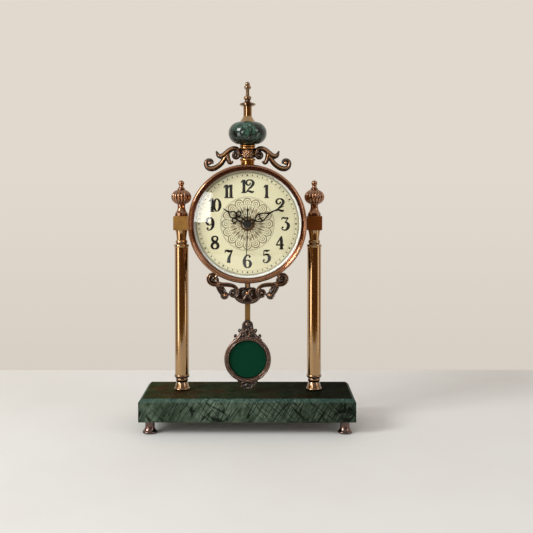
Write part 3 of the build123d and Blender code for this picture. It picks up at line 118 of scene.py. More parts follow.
class ClockColours(bpy.types.PropertyGroup):
    """Colours of the finishes."""

    marble_pale: tint("Marble, pale", "Pale clouds in the green marble", (114, 132, 114))
    marble_green: tint("Marble, green", "Main colour of the green marble", (63, 78, 63))
    # the dark of the cracks also paints shade on the slab's right, and the top colour is the slab's top
    # darkened as painted shade
    marble_dark: tint("Marble, dark", "Cracks in the green marble", (9, 13, 8))
    marble_top: tint("Marble, top", "Deep polished top of the slab", (60, 62, 34))
    brass: tint("Brass", "Polished faces of the antique brass", (164, 121, 54))
    brass_dark: tint("Brass, dark", "Stained hollows of the antique brass", (54, 24, 9))
    copper: tint("Copper", "Polished faces of the antique copper", (152, 100, 58))
    copper_dark: tint("Copper, dark", "Stained hollows of the antique copper", (40, 15, 8))
    bronze: tint("Bronze", "Rubbed ridges of the castings", (184, 132, 82))
    # the dark bronze also paints shade under the ridges of the castings
    bronze_dark: tint("Bronze, dark", "Blackened hollows of the castings", (36, 20, 15))
    cream: tint("Cream", "Ground of the dial", (217, 210, 178))
    ink: tint("Ink", "Numerals and minute track", (7, 5, 5))
    ornament: tint("Ornament", "Lines of the dial's medallion", (106, 74, 36))
    insert: tint("Insert", "Disc in the bob", (6, 58, 39))
    floor: tint("Floor", "Surface that the clock stands on", (230, 231, 231))
    wall: tint("Wall", "Backdrop behind the clock", (225, 217, 206))
    # painted shade at the foot of the backdrop
    wall_low: tint("Wall, low", "Foot of the backdrop", (215, 207, 196))


def colour(given):
    """A colour as a shader socket takes it, from the name of a setting or from a screen colour."""
    if isinstance(given, str):
        return (*getattr(bpy.context.scene.clock_colours, given), 1.0)
    return (*linear(*given), 1.0)


# Handling of objects


def choose(*pieces):
    """Select only these pieces, the last one active."""
    bpy.ops.object.select_all(action="DESELECT")
    for piece in pieces:
        piece.select_set(True)
    bpy.context.view_layer.objects.active = pieces[-1]


def settle(piece, name):
    """Put a piece's place into its mesh and name it."""
    choose(piece)
    bpy.ops.object.transform_apply(location=True, rotation=True, scale=True)
    piece.name = name
    piece.data.name = name
    return piece


def work(piece, kind, **settings):
    """Add a modifier, set it up and apply it."""
    choose(piece)
    modifier = piece.modifiers.new(kind.title(), kind)
    for key, value in settings.items():
        setattr(modifier, key, value)
    bpy.ops.object.modifier_apply(modifier=modifier.name)
    return piece


def close_up(piece):
    """Merge doubled points and turn the faces outwards."""
    choose(piece)
    bpy.ops.object.mode_set(mode="EDIT")
    bpy.ops.mesh.select_all(action="SELECT")
    bpy.ops.mesh.remove_doubles(threshold=MERGE_DISTANCE)
    bpy.ops.mesh.normals_make_consistent(inside=False)
    bpy.ops.object.mode_set(mode="OBJECT")
    return piece


def join(name, pieces):
    """Join pieces into one."""
    choose(*pieces)
    if len(pieces) > 1:
        bpy.ops.object.join()
    return settle(bpy.context.object, name)


def fuse(name, pieces, grain):
    """Melt overlapping closed shapes into one casting with a single skin."""
    casting = join(name, pieces)
    work(casting, "REMESH", mode="VOXEL", voxel_size=grain, use_smooth_shade=True)
    work(casting, "SMOOTH", factor=0.5, iterations=2)
    choose(casting)
    bpy.ops.object.shade_smooth()
    return casting


def finish(piece, material, body, replaced=()):
    """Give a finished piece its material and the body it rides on."""
    piece.data.materials.clear()
    piece.data.materials.append(material)
    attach(piece, body)
    if replaced:
        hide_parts(*replaced)


def paint(material, *names):
    """Give carried-over nodes a material."""
    for name in names:
        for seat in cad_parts[name].material_slots:
            seat.material = material


# Drawn lines: runs of (x, z, width) stations in millimetres, seen from the front


CHANNEL = (
    (-0.50, -0.30), (-0.50, 0.08), (-0.44, 0.36), (-0.33, 0.46), (-0.22, 0.38), (-0.10, 0.20),
    (0.10, 0.20), (0.22, 0.38), (0.33, 0.46), (0.44, 0.36), (0.50, 0.08), (0.50, -0.30),
    (0.32, -0.42), (-0.32, -0.42),
)
RIDGE = (
    (-0.50, -0.28), (-0.48, 0.02), (-0.30, 0.26), (-0.12, 0.42), (0.0, 0.46), (0.12, 0.42),
    (0.30, 0.26), (0.48, 0.02), (0.50, -0.28), (0.30, -0.40), (-0.30, -0.40),
)
RIBBON = ((-0.5, -0.012), (0.5, -0.012), (0.5, 0.012), (-0.5, 0.012))
CURVE_STEPS = 6


def flat_curve(name):
    """Data of a new flat curve."""
    data = bpy.data.curves.new(name, "CURVE")
    data.dimensions = "2D"
    return data


def linked(name, data):
    """A new object in the scene."""
    piece = bpy.data.objects.new(name, data)
    bpy.context.scene.collection.objects.link(piece)
    return piece


def outline_curve(name, points):
    """A closed flat outline that lines are swept with."""
    data = flat_curve(name)
    spline = data.splines.new("POLY")
    spline.points.add(len(points) - 1)
    for point, (across, out) in zip(spline.points, points):
        point.co = (across, out, 0.0, 1.0)
    spline.use_cyclic_u = True
    return linked(name, data)


def lay_run(data, run):
    """Add one smooth run of stations to a curve."""
    closed = len(run) > 2 and run[0] == run[-1]
    stations = run[:-1] if closed else run
    spline = data.splines.new("BEZIER")
    spline.bezier_points.add(len(stations) - 1)
    spline.use_cyclic_u = closed
    for point, (x, z, width) in zip(spline.bezier_points, stations):
        point.co = (x * MM, z * MM, 0.0)
        point.radius = width * MM
    for point in spline.bezier_points:
        point.handle_left_type = "AUTO"
        point.handle_right_type = "AUTO"


def stand_up(drawn, plane):
    """Turn a drawing into a mesh and stand it up in a plane that faces the front."""
    choose(drawn)
    bpy.ops.object.convert(target="MESH")
    drawn = bpy.context.object
    drawn.rotation_euler = (math.pi / 2, 0.0, 0.0)
    drawn.location = (0.0, plane * MM, 0.0)
    return close_up(settle(drawn, drawn.name))


def sweep(name, runs, outline, plane, steps=CURVE_STEPS):
    """Sweep an outline along runs of stations."""
    guide = outline_curve(name + "_outline", outline)
    data = flat_curve(name)
    data.bevel_mode = "OBJECT"
    data.bevel_object = guide
    data.use_fill_caps = True
    data.resolution_u = steps
    for run in runs:
        lay_run(data, run)
    drawn = stand_up(linked(name, data), plane)
    bpy.data.objects.remove(guide, do_unlink=True)
    return drawn


def plate(name, outlines, thickness, plane):
    """A flat plate inside smooth outlines; an outline within another is a hole."""
    data = flat_curve(name)
    data.fill_mode = "BOTH"
    data.extrude = thickness * MM / 2
    data.resolution_u = CURVE_STEPS
    for outline in outlines:
        lay_run(data, [(x, z, 1 / MM) for x, z in (*outline, outline[0])])
    return stand_up(linked(name, data), plane)


def ring_points(x, z, radius, count=8):
    """Points round a circle."""
    turns = [2 * math.pi * index / count for index in range(count)]
    return [(x + radius * math.cos(turn), z + radius * math.sin(turn)) for turn in turns]


def raised(runs, height):
    """Runs moved up by a height."""
    return [tuple((x, z + height, width) for x, z, width in run) for run in runs]


def paired(runs, height):
    """Runs together with their mirror images, moved up by a height."""
    return raised([*runs, *[tuple((-x, z, width) for x, z, width in run) for run in runs]], height)


def both_sides(half, height):
    """A closed outline, moved up by a height, from its right half, whose ends lie on the middle line."""
    left = [(-x, z) for x, z in reversed(half[1:-1])]
    return [(x, z + height) for x, z in (*half, *left)]


def cheeks(name, outlines, height, thickness, plane):
    """Flat plates that stand on both sides of the middle."""
    return [plate(name, [[(side * x, z + height) for x, z in outline]], thickness, plane)
            for side in SIDES for outline in outlines]


def eyes(rows, height, plane):
    """Round eyes of the volutes on both sides of the middle."""
    return [bead(side * x, plane, height + z, radius) for side in SIDES for x, z, radius in rows]


def bead(x, y, z, radius, scale=(1.0, 1.0, 1.0), turn=(0.0, 0.0, 0.0), segments=20):
    """A rounded drop of metal that is melted into a casting."""
    bpy.ops.mesh.primitive_uv_sphere_add(
        segments=segments, ring_count=max(segments // 2, 4), radius=radius * MM,
        location=(x * MM, y * MM, z * MM), rotation=turn, scale=scale)
    return settle(bpy.context.object, "bead")


def turned(name, points, height, steps=128):
    """Spin an outline of (radius, y) points about the front-to-back axis at a height."""
    bpy.ops.mesh.primitive_circle_add(vertices=len(points), radius=MM)
    piece = settle(bpy.context.object, name)
    for vertex, (radius, depth) in zip(piece.data.vertices, points):
        vertex.co = (radius * MM, depth * MM, height * MM)
    choose(piece)
    bpy.ops.object.mode_set(mode="EDIT")
    bpy.ops.mesh.select_all(action="SELECT")
    bpy.ops.mesh.spin(steps=steps, angle=2 * math.pi, center=(0.0, 0.0, height * MM), axis=(0.0, 1.0, 0.0))
    bpy.ops.object.mode_set(mode="OBJECT")
    return close_up(piece)


# Shader nodes


def feed(tree, node, inputs):
    """Set the inputs of a node, or link them where a socket is given."""
    for key, value in inputs.items():
        if isinstance(value, bpy.types.NodeSocket):
            tree.links.new(value, node.inputs[key])
        else:
            node.inputs[key].default_value = value


def place(tree, kind, inputs=None, **settings):
    """Add a node; an input is a value or a socket to link."""
    node = tree.nodes.new(kind)
    for key, value in settings.items():
        setattr(node, key, value)
    feed(tree, node, inputs or {})
    return node


def calc(tree, operation, first, second=0.0, clamp=False):
    """A sum of two values."""
    inputs = {0: first, 1: second}
    return place(tree, "ShaderNodeMath", inputs, operation=operation, use_clamp=clamp).outputs[0]


def vector(tree, operation, inputs, output=0):
    """A sum of vectors."""
    return place(tree, "ShaderNodeVectorMath", inputs, operation=operation).outputs[output]


def mapped(tree, where, **change):
    """A place that is moved, turned or scaled."""
    inputs = {key.title(): value for key, value in change.items()}
    return place(tree, "ShaderNodeMapping", {"Vector": where, **inputs}).outputs["Vector"]


def axes(tree, where):
    """The X, Y and Z of a place or a direction."""
    return place(tree, "ShaderNodeSeparateXYZ", {0: where}).outputs


def blend(tree, share, first, second):
    """A mix of two colours."""
    return place(tree, "ShaderNodeMix", {0: share, 6: first, 7: second}, data_type="RGBA").outputs[2]


def fit(tree, value, low, high, to_low=0.0, to_high=1.0):
    """Stretch a value from one range to another."""
    return place(tree, "ShaderNodeMapRange", {
        "Value": value, "From Min": low, "From Max": high, "To Min": to_low,
        "To Max": to_high}).outputs["Result"]


def object_place(tree):
    """The place of a point on the clock."""
    return place(tree, "ShaderNodeTexCoord").outputs["Object"]


def noise(tree, where, scale, detail=4.0, roughness=0.55, output="Fac"):
    """Soft noise."""
    return place(tree, "ShaderNodeTexNoise", {
        "Vector": where, "Scale": scale, "Detail": detail, "Roughness": roughness}).outputs[output]


def bump(tree, height, strength, distance):
    """A normal from a height."""
    return place(tree, "ShaderNodeBump", {
        "Height": height, "Strength": strength, "Distance": distance}).outputs["Normal"]


def kept(store):
    """Let a maker of finishes or node groups make each one once, under the maker's name."""
    def wrap(maker):
        def give():
            return getattr(bpy.data, store).get(maker.__name__) or maker(maker.__name__)
        return give
    return wrap


def finish_group(name, inputs):
    """A new node group with named inputs that puts out a colour, a roughness and a height."""
    tree = bpy.data.node_groups.new(name, "ShaderNodeTree")
    for label, default in inputs.items():
        kind = "NodeSocketColor" if isinstance(default, tuple) else "NodeSocketFloat"
        tree.interface.new_socket(label, in_out="INPUT", socket_type=kind).default_value = default
    tree.interface.new_socket("Color", in_out="OUTPUT", socket_type="NodeSocketColor")
    for label in ("Roughness", "Height"):
        tree.interface.new_socket(label, in_out="OUTPUT", socket_type="NodeSocketFloat")
    return tree, tree.nodes.new("NodeGroupInput").outputs, tree.nodes.new("NodeGroupOutput")


@kept("node_groups")
def worn_metal(name):
    """Group: metal with stained hollows, mottling, rubbed edges and painted shade on faces that turn
    downwards.
    """
    tree, given, made = finish_group(name, {
        "Bright": (0.5, 0.3, 0.1, 1.0), "Dark": (0.05, 0.02, 0.01, 1.0), "Mottle Scale": 60.0, "Mottle": 0.5,
        "Hollow Depth": 0.004, "Hollow": 1.0, "Rubbed": 0.0, "Relief Front": 0.0, "Relief Depth": 10.0,
        "Underside": 0.0, "Smoothness": 0.3})
    where = object_place(tree)
    broad = noise(tree, where, given["Mottle Scale"], 5.0, 0.6)
    fine = noise(tree, where, calc(tree, "MULTIPLY", given["Mottle Scale"], 40.0), 2.0)
    open_sky = place(tree, "ShaderNodeAmbientOcclusion", {"Distance": given["Hollow Depth"]}, samples=8)
    hollow = calc(tree, "MULTIPLY", fit(tree, open_sky.outputs["AO"], 0.95, 0.30), given["Hollow"])
    stain = calc(tree, "MULTIPLY", fit(tree, broad, 0.42, 0.72), given["Mottle"])
    sunk = calc(tree, "SUBTRACT", axes(tree, where)["Y"], given["Relief Front"])
    sunk = calc(tree, "DIVIDE", sunk, given["Relief Depth"], True)
    facing = axes(tree, place(tree, "ShaderNodeTexCoord").outputs["Normal"])
    # painted shade: faces that turn downwards are darkened towards the dark colour
    downward_shade = calc(tree, "MULTIPLY", fit(tree, facing["Z"], 0.10, -0.45), given["Underside"])
    dirt_and_shade = calc(tree, "ADD", calc(tree, "ADD", hollow, stain), calc(tree, "ADD", sunk, downward_shade), True)
    edge = place(tree, "ShaderNodeNewGeometry").outputs["Pointiness"]
    rubbed = calc(tree, "MULTIPLY", fit(tree, edge, 0.50, 0.58), given["Rubbed"])
    dirt_and_shade = calc(tree, "SUBTRACT", dirt_and_shade, rubbed, True)
    rough = calc(tree, "ADD", given["Smoothness"], calc(tree, "MULTIPLY", dirt_and_shade, 0.20))
    feed(tree, made, {
        "Color": blend(tree, dirt_and_shade, given["Bright"], given["Dark"]),
        "Roughness": calc(tree, "ADD", rough, fit(tree, fine, 0.3, 0.7, -0.02, 0.02), True), "Height": fine})
    return tree


@kept("node_groups")
def fine_grain(name):
    """Group: fine grain of moulded, painted or printed surfaces, with faint clouds."""
    tree, given, made = finish_group(name, {
        "Base": (0.5, 0.5, 0.5, 1.0), "Shade": (0.4, 0.4, 0.4, 1.0), "Grain Scale": 1800.0,
        "Smoothness": 0.45})
    where = object_place(tree)
    grain = noise(tree, where, given["Grain Scale"], 2.0)
    clouds = noise(tree, where, calc(tree, "DIVIDE", given["Grain Scale"], 28.0))
    share = calc(tree, "ADD", fit(tree, clouds, 0.35, 0.75, 0.0, 0.7), fit(tree, grain, 0.5, 0.8, 0.0, 0.3))
    feed(tree, made, {
        "Color": blend(tree, share, given["Base"], given["Shade"]),
        "Roughness": calc(tree, "ADD", given["Smoothness"], fit(tree, grain, 0.3, 0.7, -0.06, 0.06)),
        "Height": grain})
    return tree


def fresh(name):
    """A new material with a principled shader."""
    material = bpy.data.materials.new(name)
    material.use_nodes = True
    tree = material.node_tree
    tree.nodes.clear()
    shader = place(tree, "ShaderNodeBsdfPrincipled")
    place(tree, "ShaderNodeOutputMaterial", {"Surface": shader.outputs["BSDF"]})
    return material, tree, shader


# Bright and dark colour, roughness, mottle (scale, share), hollows (depth, share), rubbed edges, coat, dents
METALS = {
    "lacquered_brass": ("brass", "brass_dark", 0.13, (26.0, 0.10), (0.004, 0.9), 0.0, 1.0, 0.02),
    # the two block finishes are one brass in a lighter and a darker copy: painted light on the left block,
    # painted shade on the right
    "satin_brass": ((198, 154, 86), (96, 58, 22), 0.40, (70.0, 0.55), (0.006, 0.8), 0.0, 0.4, 0.10),
    "aged_brass": ((160, 92, 38), (96, 58, 22), 0.40, (70.0, 0.55), (0.006, 0.8), 0.0, 0.4, 0.10),
    "dark_brass": ((136, 98, 48), "brass_dark", 0.14, (40.0, 0.25), (0.005, 1.1), 0.0, 0.8, 0.02),
    "gilt_brass": ((196, 136, 58), (74, 34, 10), 0.13, (30.0, 0.10), (0.004, 0.9), 0.0, 0.5, 0.02),
    "lacquered_copper": ("copper", "copper_dark", 0.15, (36.0, 0.15), (0.004, 1.3), 0.0, 0.6, 0.02),
    "dark_copper": ((86, 46, 24), "copper_dark", 0.16, (60.0, 0.5), (0.006, 1.3), 0.0, 0.8, 0.02),
    "spun_copper": ((152, 96, 52), "copper_dark", 0.22, (28.0, 0.04), (0.006, 0.5), 0.0, 1.0, 0.01),
    "turned_steel": ((178, 176, 170), (96, 92, 86), 0.28, (120.0, 0.3), (0.002, 0.6), 0.0, 0.0, 0.10),
    "brushed_rod": ((156, 124, 74), (84, 62, 32), 0.42, (70.0, 0.35), (0.003, 0.8), 0.0, 0.2, 0.15),
    "crest_bronze": ("bronze", "bronze_dark", 0.24, (160.0, 0.20), (0.0022, 1.5), 0.25, 0.6, 0.06),
    "apron_bronze": ("bronze", "bronze_dark", 0.24, (160.0, 0.20), (0.0022, 1.5), 0.25, 0.6, 0.06),
    "bob_bronze": ((132, 92, 64), "bronze_dark", 0.24, (160.0, 0.20), (0.0022, 1.5), 0.25, 0.6, 0.06),
}
# Carved faces that are dark where they lie far back: front and depth in millimetres, then painted shade under
# the ridges
RELIEFS = {
    "crest_bronze": (CREST_PLANE - 2.9, 1.2, 0.9),
    "apron_bronze": (APRON_PLANE - 1.7, 1.1, 0.9),
    "bob_bronze": (BOB_PLANE - 2.9, 0.8, 0.9),
}
NO_RELIEF = (0.0, 10000.0, 0.0)

# Base and shaded colour, roughness, grain scale, dents, gloss
GRAINS = {
    "hand_lacquer": ((10, 10, 10), (22, 20, 20), 0.45, 900.0, 0.10, 0.08),
    "moulded_black": ((34, 34, 35), (47, 47, 48), 0.46, 1500.0, 0.35, 0.5),
    "ring_enamel": ((226, 225, 220), (216, 213, 204), 0.30, 700.0, 0.04, 0.5),
    "dial_ink": ("ink", (16, 14, 13), 0.55, 1200.0, 0.10, 0.2),
    "bob_lacquer": ("insert", (12, 50, 34), 0.40, 700.0, 0.06, 0.04),
    "wheel_plastic": ((226, 222, 208), (204, 198, 180), 0.38, 1800.0, 0.10, 0.5),
    "board_lacquer": ((24, 78, 44), (16, 58, 34), 0.34, 500.0, 0.10, 0.5),
}


def metal(name):
    """One of the aged metal finishes."""
    if name in bpy.data.materials:
        return bpy.data.materials[name]
    bright, dark, smoothness, mottle, hollow, rubbed, coat, dents = METALS[name]
    front, depth, underside_shade = RELIEFS.get(name, NO_RELIEF)
    material, tree, shader = fresh(name)
    worn = place(tree, "ShaderNodeGroup", {
        "Bright": colour(bright), "Dark": colour(dark), "Mottle Scale": mottle[0], "Mottle": mottle[1],
        "Hollow Depth": hollow[0], "Hollow": hollow[1], "Rubbed": rubbed, "Relief Front": front * MM,
        "Relief Depth": depth * MM, "Underside": underside_shade, "Smoothness": smoothness}, node_tree=worn_metal())
    feed(tree, shader, {
        "Base Color": worn.outputs["Color"], "Roughness": worn.outputs["Roughness"], "Metallic": 1.0,
        "Coat Weight": coat, "Coat Roughness": 0.04, "Coat IOR": 1.9,
        "Normal": bump(tree, worn.outputs["Height"], dents, 0.00002)})
    return material


def grained(name):
    """One of the moulded, painted or printed finishes."""
    if name in bpy.data.materials:
        return bpy.data.materials[name]
    base, shade, smoothness, scale, dents, gloss = GRAINS[name]
    material, tree, shader = fresh(name)
    grain = place(tree, "ShaderNodeGroup", {
        "Base": colour(base), "Shade": colour(shade), "Grain Scale": scale, "Smoothness": smoothness},
        node_tree=fine_grain())
    feed(tree, shader, {
        "Base Color": grain.outputs["Color"], "Roughness": grain.outputs["Roughness"],
        "Specular IOR Level": gloss, "Normal": bump(tree, grain.outputs["Height"], dents, 0.00008)})
    return material


def tinted(material, share, tone):
    """Blend a tone into a finish by a share that changes over the surface."""
    tree = material.node_tree
    base = tree.nodes["Principled BSDF"].inputs["Base Color"]
    tree.links.new(blend(tree, share, base.links[0].from_socket, colour(tone)), base)


def head_middle(tree):
    """A place on the head as seen from its axis."""
    return mapped(tree, object_place(tree), location=(0.0, 0.0, -HEAD_HEIGHT * MM), scale=(1.0, 0.0, 1.0))


def head_reach(tree):
    """Distance from the axis of the head."""
    return vector(tree, "LENGTH", {0: head_middle(tree)}, "Value")


def head_side(tree, side):
    """1 on one side of the head, -1 on the other."""
    heading = vector(tree, "NORMALIZE", {0: head_middle(tree)})
    return vector(tree, "DOT_PRODUCT", {0: heading, 1: side}, "Value")


@kept("materials")
def spun_copper(name):
    """Smooth antique copper of the bezel, with painted shade that darkens it where it slopes in to the glass,
    more widely on its upper side.
    """
    material = metal(name)
    tree = material.node_tree
    # painted shade: the bezel's inner slope is darkened, and the dark band is shifted so that it is wider on
    # the upper side
    shift = calc(tree, "MULTIPLY", head_side(tree, BEZEL_SHADE_SIDE), BEZEL_SHADE_SHIFT * MM)
    reach = calc(tree, "SUBTRACT", head_reach(tree), shift)
    inside = fit(tree, reach, BEZEL_SHADE[0] * MM, BEZEL_SHADE[1] * MM, 0.94, 0.0)
    tinted(material, inside, (62, 24, 14))
    feed(tree, tree.nodes["Principled BSDF"], {"Coat Weight": fit(tree, inside, 0.0, 1.0, 0.6, 0.0)})
    return material


@kept("materials")
def ring_enamel(name):
    """White enamel of the dial's ring, with painted shade that turns it olive on its upper side, and a dark
    line where it meets the dial.
    """
    material = grained(name)
    tree = material.node_tree
    # painted shade: the ring darkens to olive on its upper left side
    tinted(material, fit(tree, head_side(tree, RING_SHADE_SIDE), 0.15, 0.85, 0.0, 0.8), (126, 108, 62))
    tinted(material, fit(tree, head_reach(tree), RING_LINE[0] * MM, RING_LINE[1] * MM, 0.6, 0.0),
           (70, 60, 38))
    return material


@kept("node_groups")
def green_marble(name):
    """Group: cloudy green marble with leaning dark seams and fine cracks that cross them."""
    tree, given, made = finish_group(name, {
        "Pale": (0.2, 0.3, 0.2, 1.0), "Green": (0.05, 0.1, 0.05, 1.0), "Dark": (0.01, 0.01, 0.01, 1.0),
        "Detail Size": 1.0, "Cracks": 1.0, "Blotches": 0.3})
    where = vector(tree, "SCALE", {0: object_place(tree), "Scale": given["Detail Size"]})
    drift = noise(tree, where, 55.0, 4.0, 0.6, "Color")
    shove = vector(tree, "SUBTRACT", {0: drift, 1: (0.5, 0.5, 0.5)})
    bent = vector(tree, "ADD", {0: where, 1: vector(tree, "SCALE", {0: shove, "Scale": 0.0036})})

    def drawn_out(lean, stretch):
        """A place that is drawn out along a leaning direction."""
        turned_place = mapped(tree, bent, rotation=(0.06, math.radians(lean), 0.04))
        return mapped(tree, turned_place, scale=(stretch, 1.0, 1.0))

    def leaning(lean, scale, stretch):
        """A noise drawn out along a leaning direction."""
        return noise(tree, drawn_out(lean, stretch), scale, 2.0, 0.5)

    def cracks(lean, scale, width, stretch):
        """Fine lines round long leaning cells, 1 on a line."""
        cells = place(tree, "ShaderNodeTexVoronoi", {"Vector": drawn_out(lean, stretch), "Scale": scale},
                      feature="DISTANCE_TO_EDGE")
        return fit(tree, cells.outputs["Distance"], 0.35 * width, width, 1.0, 0.0)

    def seams(lean, scale, width, stretch):
        """Long soft lines that lean by an angle, 1 on a line."""
        apart = calc(tree, "ABSOLUTE", calc(tree, "SUBTRACT", leaning(lean, scale, stretch), 0.5))
        return fit(tree, apart, 0.35 * width, width, 1.0, 0.0)

    def patches(scale, low, high):
        """A patchy mask."""
        return fit(tree, noise(tree, bent, scale, 4.0, 0.6), low, high)

    def faded(lines, mask, strength):
        """Lines that show only in patches, with a strength."""
        return calc(tree, "MULTIPLY", calc(tree, "MULTIPLY", lines, mask), strength)

    wisps = fit(tree, leaning(58.0, 260.0, 0.22), 0.36, 0.64)
    grain = noise(tree, where, 420.0, 4.0, 0.7)
    lines = calc(tree, "MAXIMUM", faded(seams(60.0, 250.0, 0.040, 0.022), patches(22.0, 0.36, 0.46), 0.55),
                 faded(cracks(60.0, 165.0, 0.075, 0.10), patches(30.0, 0.40, 0.50), 0.9))
    across = faded(cracks(-44.0, 120.0, 0.055, 0.10), patches(18.0, 0.45, 0.53), 0.9)
    lines = calc(tree, "MULTIPLY", calc(tree, "MAXIMUM", lines, across), given["Cracks"], True)
    share = calc(tree, "MULTIPLY", patches(34.0, 0.36, 0.66), fit(tree, wisps, 0.0, 1.0, 0.25, 1.0), True)
    ground = blend(tree, share, given["Green"], given["Pale"])
    ground = blend(tree, fit(tree, grain, 0.44, 0.66, 0.0, 0.38), ground, given["Dark"])
    blots = calc(tree, "MULTIPLY", patches(75.0, 0.50, 0.62), given["Blotches"])
    ground = blend(tree, blots, ground, given["Dark"])
    feed(tree, made, {
        "Color": blend(tree, lines, ground, given["Dark"]),
        "Roughness": fit(tree, grain, 0.3, 0.7, 0.05, 0.10),
        "Height": calc(tree, "SUBTRACT", 1.0, lines)})
    return tree


def marble(name, pale, green, size, cracks, blotches, depth):
    """A polished marble; returns its tree, shader and colour for a maker to go on with."""
    material, tree, shader = fresh(name)
    stone = place(tree, "ShaderNodeGroup", {
        "Pale": colour(pale), "Green": colour(green), "Dark": colour("marble_dark"), "Detail Size": size,
        "Cracks": cracks, "Blotches": blotches}, node_tree=green_marble())
    feed(tree, shader, {
        "Base Color": stone.outputs["Color"], "Roughness": stone.outputs["Roughness"], "IOR": depth,
        "Normal": bump(tree, stone.outputs["Height"], 0.03, 0.00003)})
    return material, tree, shader, stone.outputs["Color"]


@kept("materials")
def slab_marble(name):
    """Marble of the slab, with painted shade that darkens it to the right and makes its top darker and
    browner, and a painted reflection that makes its chamfer bluer.
    """
    material, tree, shader, stone = marble(name, "marble_pale", "marble_green", 1.0, 1.0, 0.25, 1.012)
    where = object_place(tree)
    spot = axes(tree, where)
    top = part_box("marble_base")[1][2]
    chamfer_foot = top - bpy.context.scene.clock_sizes.slab_chamfer
    # painted shade: the slab darkens towards the right
    rightward_shade = calc(tree, "MULTIPLY", fit(tree, spot["X"], -0.02, 0.125), 0.60)
    stone = blend(tree, rightward_shade, stone, colour("marble_dark"))
    # painted reflection: the chamfer is tinted blue-green
    chamfer = calc(tree, "MULTIPLY", fit(tree, spot["Z"], chamfer_foot - 0.0004, chamfer_foot + 0.0004), 0.20)
    side = blend(tree, chamfer, stone, colour((84, 124, 118)))
    mossy = fit(tree, noise(tree, where, 40.0, 5.0, 0.65), 0.40, 0.62)
    rusty = calc(tree, "MULTIPLY", fit(tree, noise(tree, where, 26.0, 4.0, 0.6), 0.46, 0.64), 0.8)
    # the top: a darker colour as painted shade, with mossy and rusty tones, and more painted shade towards
    # the right
    shaded_top = blend(tree, mossy, colour("marble_top"), colour((20, 42, 18)))
    shaded_top = blend(tree, rusty, shaded_top, colour((66, 30, 10)))
    shaded_top = blend(tree, fit(tree, spot["X"], -0.12, 0.08, 0.0, 0.86), shaded_top, colour((6, 6, 3)))
    shaded_top = blend(tree, 0.15, shaded_top, stone)
    on_top = fit(tree, spot["Z"], top - 0.0004, top - 0.0001)
    tree.links.new(blend(tree, on_top, side, shaded_top), shader.inputs["Base Color"])
    return material


@kept("materials")
def ball_marble(name):
    """Marble of the ball, brighter green with black blotches."""
    return marble(name, (94, 140, 120), (20, 36, 29), 1.8, 0.9, 0.97, 1.5)[0]


@kept("materials")
def domed_glass(name):
    """Clear domed glass, faintly smudged, that lets the lamps through to the dial."""
    material, tree, shader = fresh(name)
    smudge = noise(tree, object_place(tree), 45.0)
    feed(tree, shader, {
        "Base Color": (0.97, 0.985, 0.975, 1.0), "Transmission Weight": 1.0, "IOR": 1.47,
        "Roughness": fit(tree, smudge, 0.50, 0.80, 0.0, 0.004)})
    clear = place(tree, "ShaderNodeBsdfTransparent", {"Color": (0.95, 0.97, 0.96, 1.0)})
    shadow = place(tree, "ShaderNodeLightPath").outputs["Is Shadow Ray"]
    mixed = place(tree, "ShaderNodeMixShader", {0: shadow, 1: shader.outputs["BSDF"],
                                                2: clear.outputs["BSDF"]})
    tree.links.new(mixed.outputs[0], tree.nodes["Material Output"].inputs["Surface"])
    return material


@kept("materials")
def dial_paint(name):
    """Cream dial paint that turns a little darker and yellower towards the edge, with faint clouds."""
    material, tree, shader = fresh(name)
    where = object_place(tree)
    paper = noise(tree, where, 900.0, 3.0)
    edge = fit(tree, head_reach(tree), 0.030, 0.062, 0.0, 0.45)
    edge_and_cloud_tone = calc(tree, "ADD", edge, fit(tree, noise(tree, where, 30.0, 3.0), 0.4, 0.7, 0.0, 0.2), True)
    feed(tree, shader, {
        "Base Color": blend(tree, edge_and_cloud_tone, colour("cream"), colour((210, 199, 160))),
        "Roughness": fit(tree, paper, 0.3, 0.7, 0.42, 0.54), "Normal": bump(tree, paper, 0.05, 0.00005)})
    return material


@kept("materials")
def ornament_ink(name):
    """Brown and gold ink of the medallion."""
    material, tree, shader = fresh(name)
    where = object_place(tree)
    clouds = noise(tree, where, 70.0)
    grain = noise(tree, where, 1200.0, 2.0)
    feed(tree, shader, {
        "Base Color": blend(tree, fit(tree, clouds, 0.35, 0.65), colour("ornament"), colour((72, 56, 34))),
        "Roughness": fit(tree, grain, 0.3, 0.7, 0.35, 0.5),
        "Metallic": fit(tree, clouds, 0.45, 0.6, 0.25, 0.0)})
    return material


@kept("materials")
def cell_sleeve(name):
    """Printed sleeve of the cell, dark with a coppery end."""
    material, tree, shader = fresh(name)
    where = object_place(tree)
    low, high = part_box("battery")
    seam = low[0] + 0.68 * (high[0] - low[0])
    band = fit(tree, axes(tree, where)["X"], seam, seam + 0.01 * (high[0] - low[0]))
    grain = noise(tree, where, 600.0, 3.0)
    feed(tree, shader, {
        "Base Color": blend(tree, band, colour((30, 32, 34)), colour((184, 116, 66))),
        "Roughness": fit(tree, grain, 0.3, 0.7, 0.26, 0.36), "Metallic": 0.35,
        "Normal": bump(tree, grain, 0.05, 0.0001)})
    return material


@kept("materials")
def wound_copper(name):
    """Lacquered winding wire."""
    material, tree, shader = fresh(name)
    where = object_place(tree)
    wires = place(tree, "ShaderNodeTexWave", {
        "Vector": where, "Scale": 900.0, "Distortion": 1.0}, bands_direction="X").outputs["Fac"]
    tones = noise(tree, where, 300.0, 3.0)
    feed(tree, shader, {
        "Base Color": blend(tree, tones, colour((190, 104, 52)), colour((120, 58, 26))),
        "Metallic": 1.0, "Roughness": fit(tree, tones, 0.3, 0.7, 0.25, 0.4),
        "Normal": bump(tree, wires, 0.4, 0.0001)})
    return material


# Marble


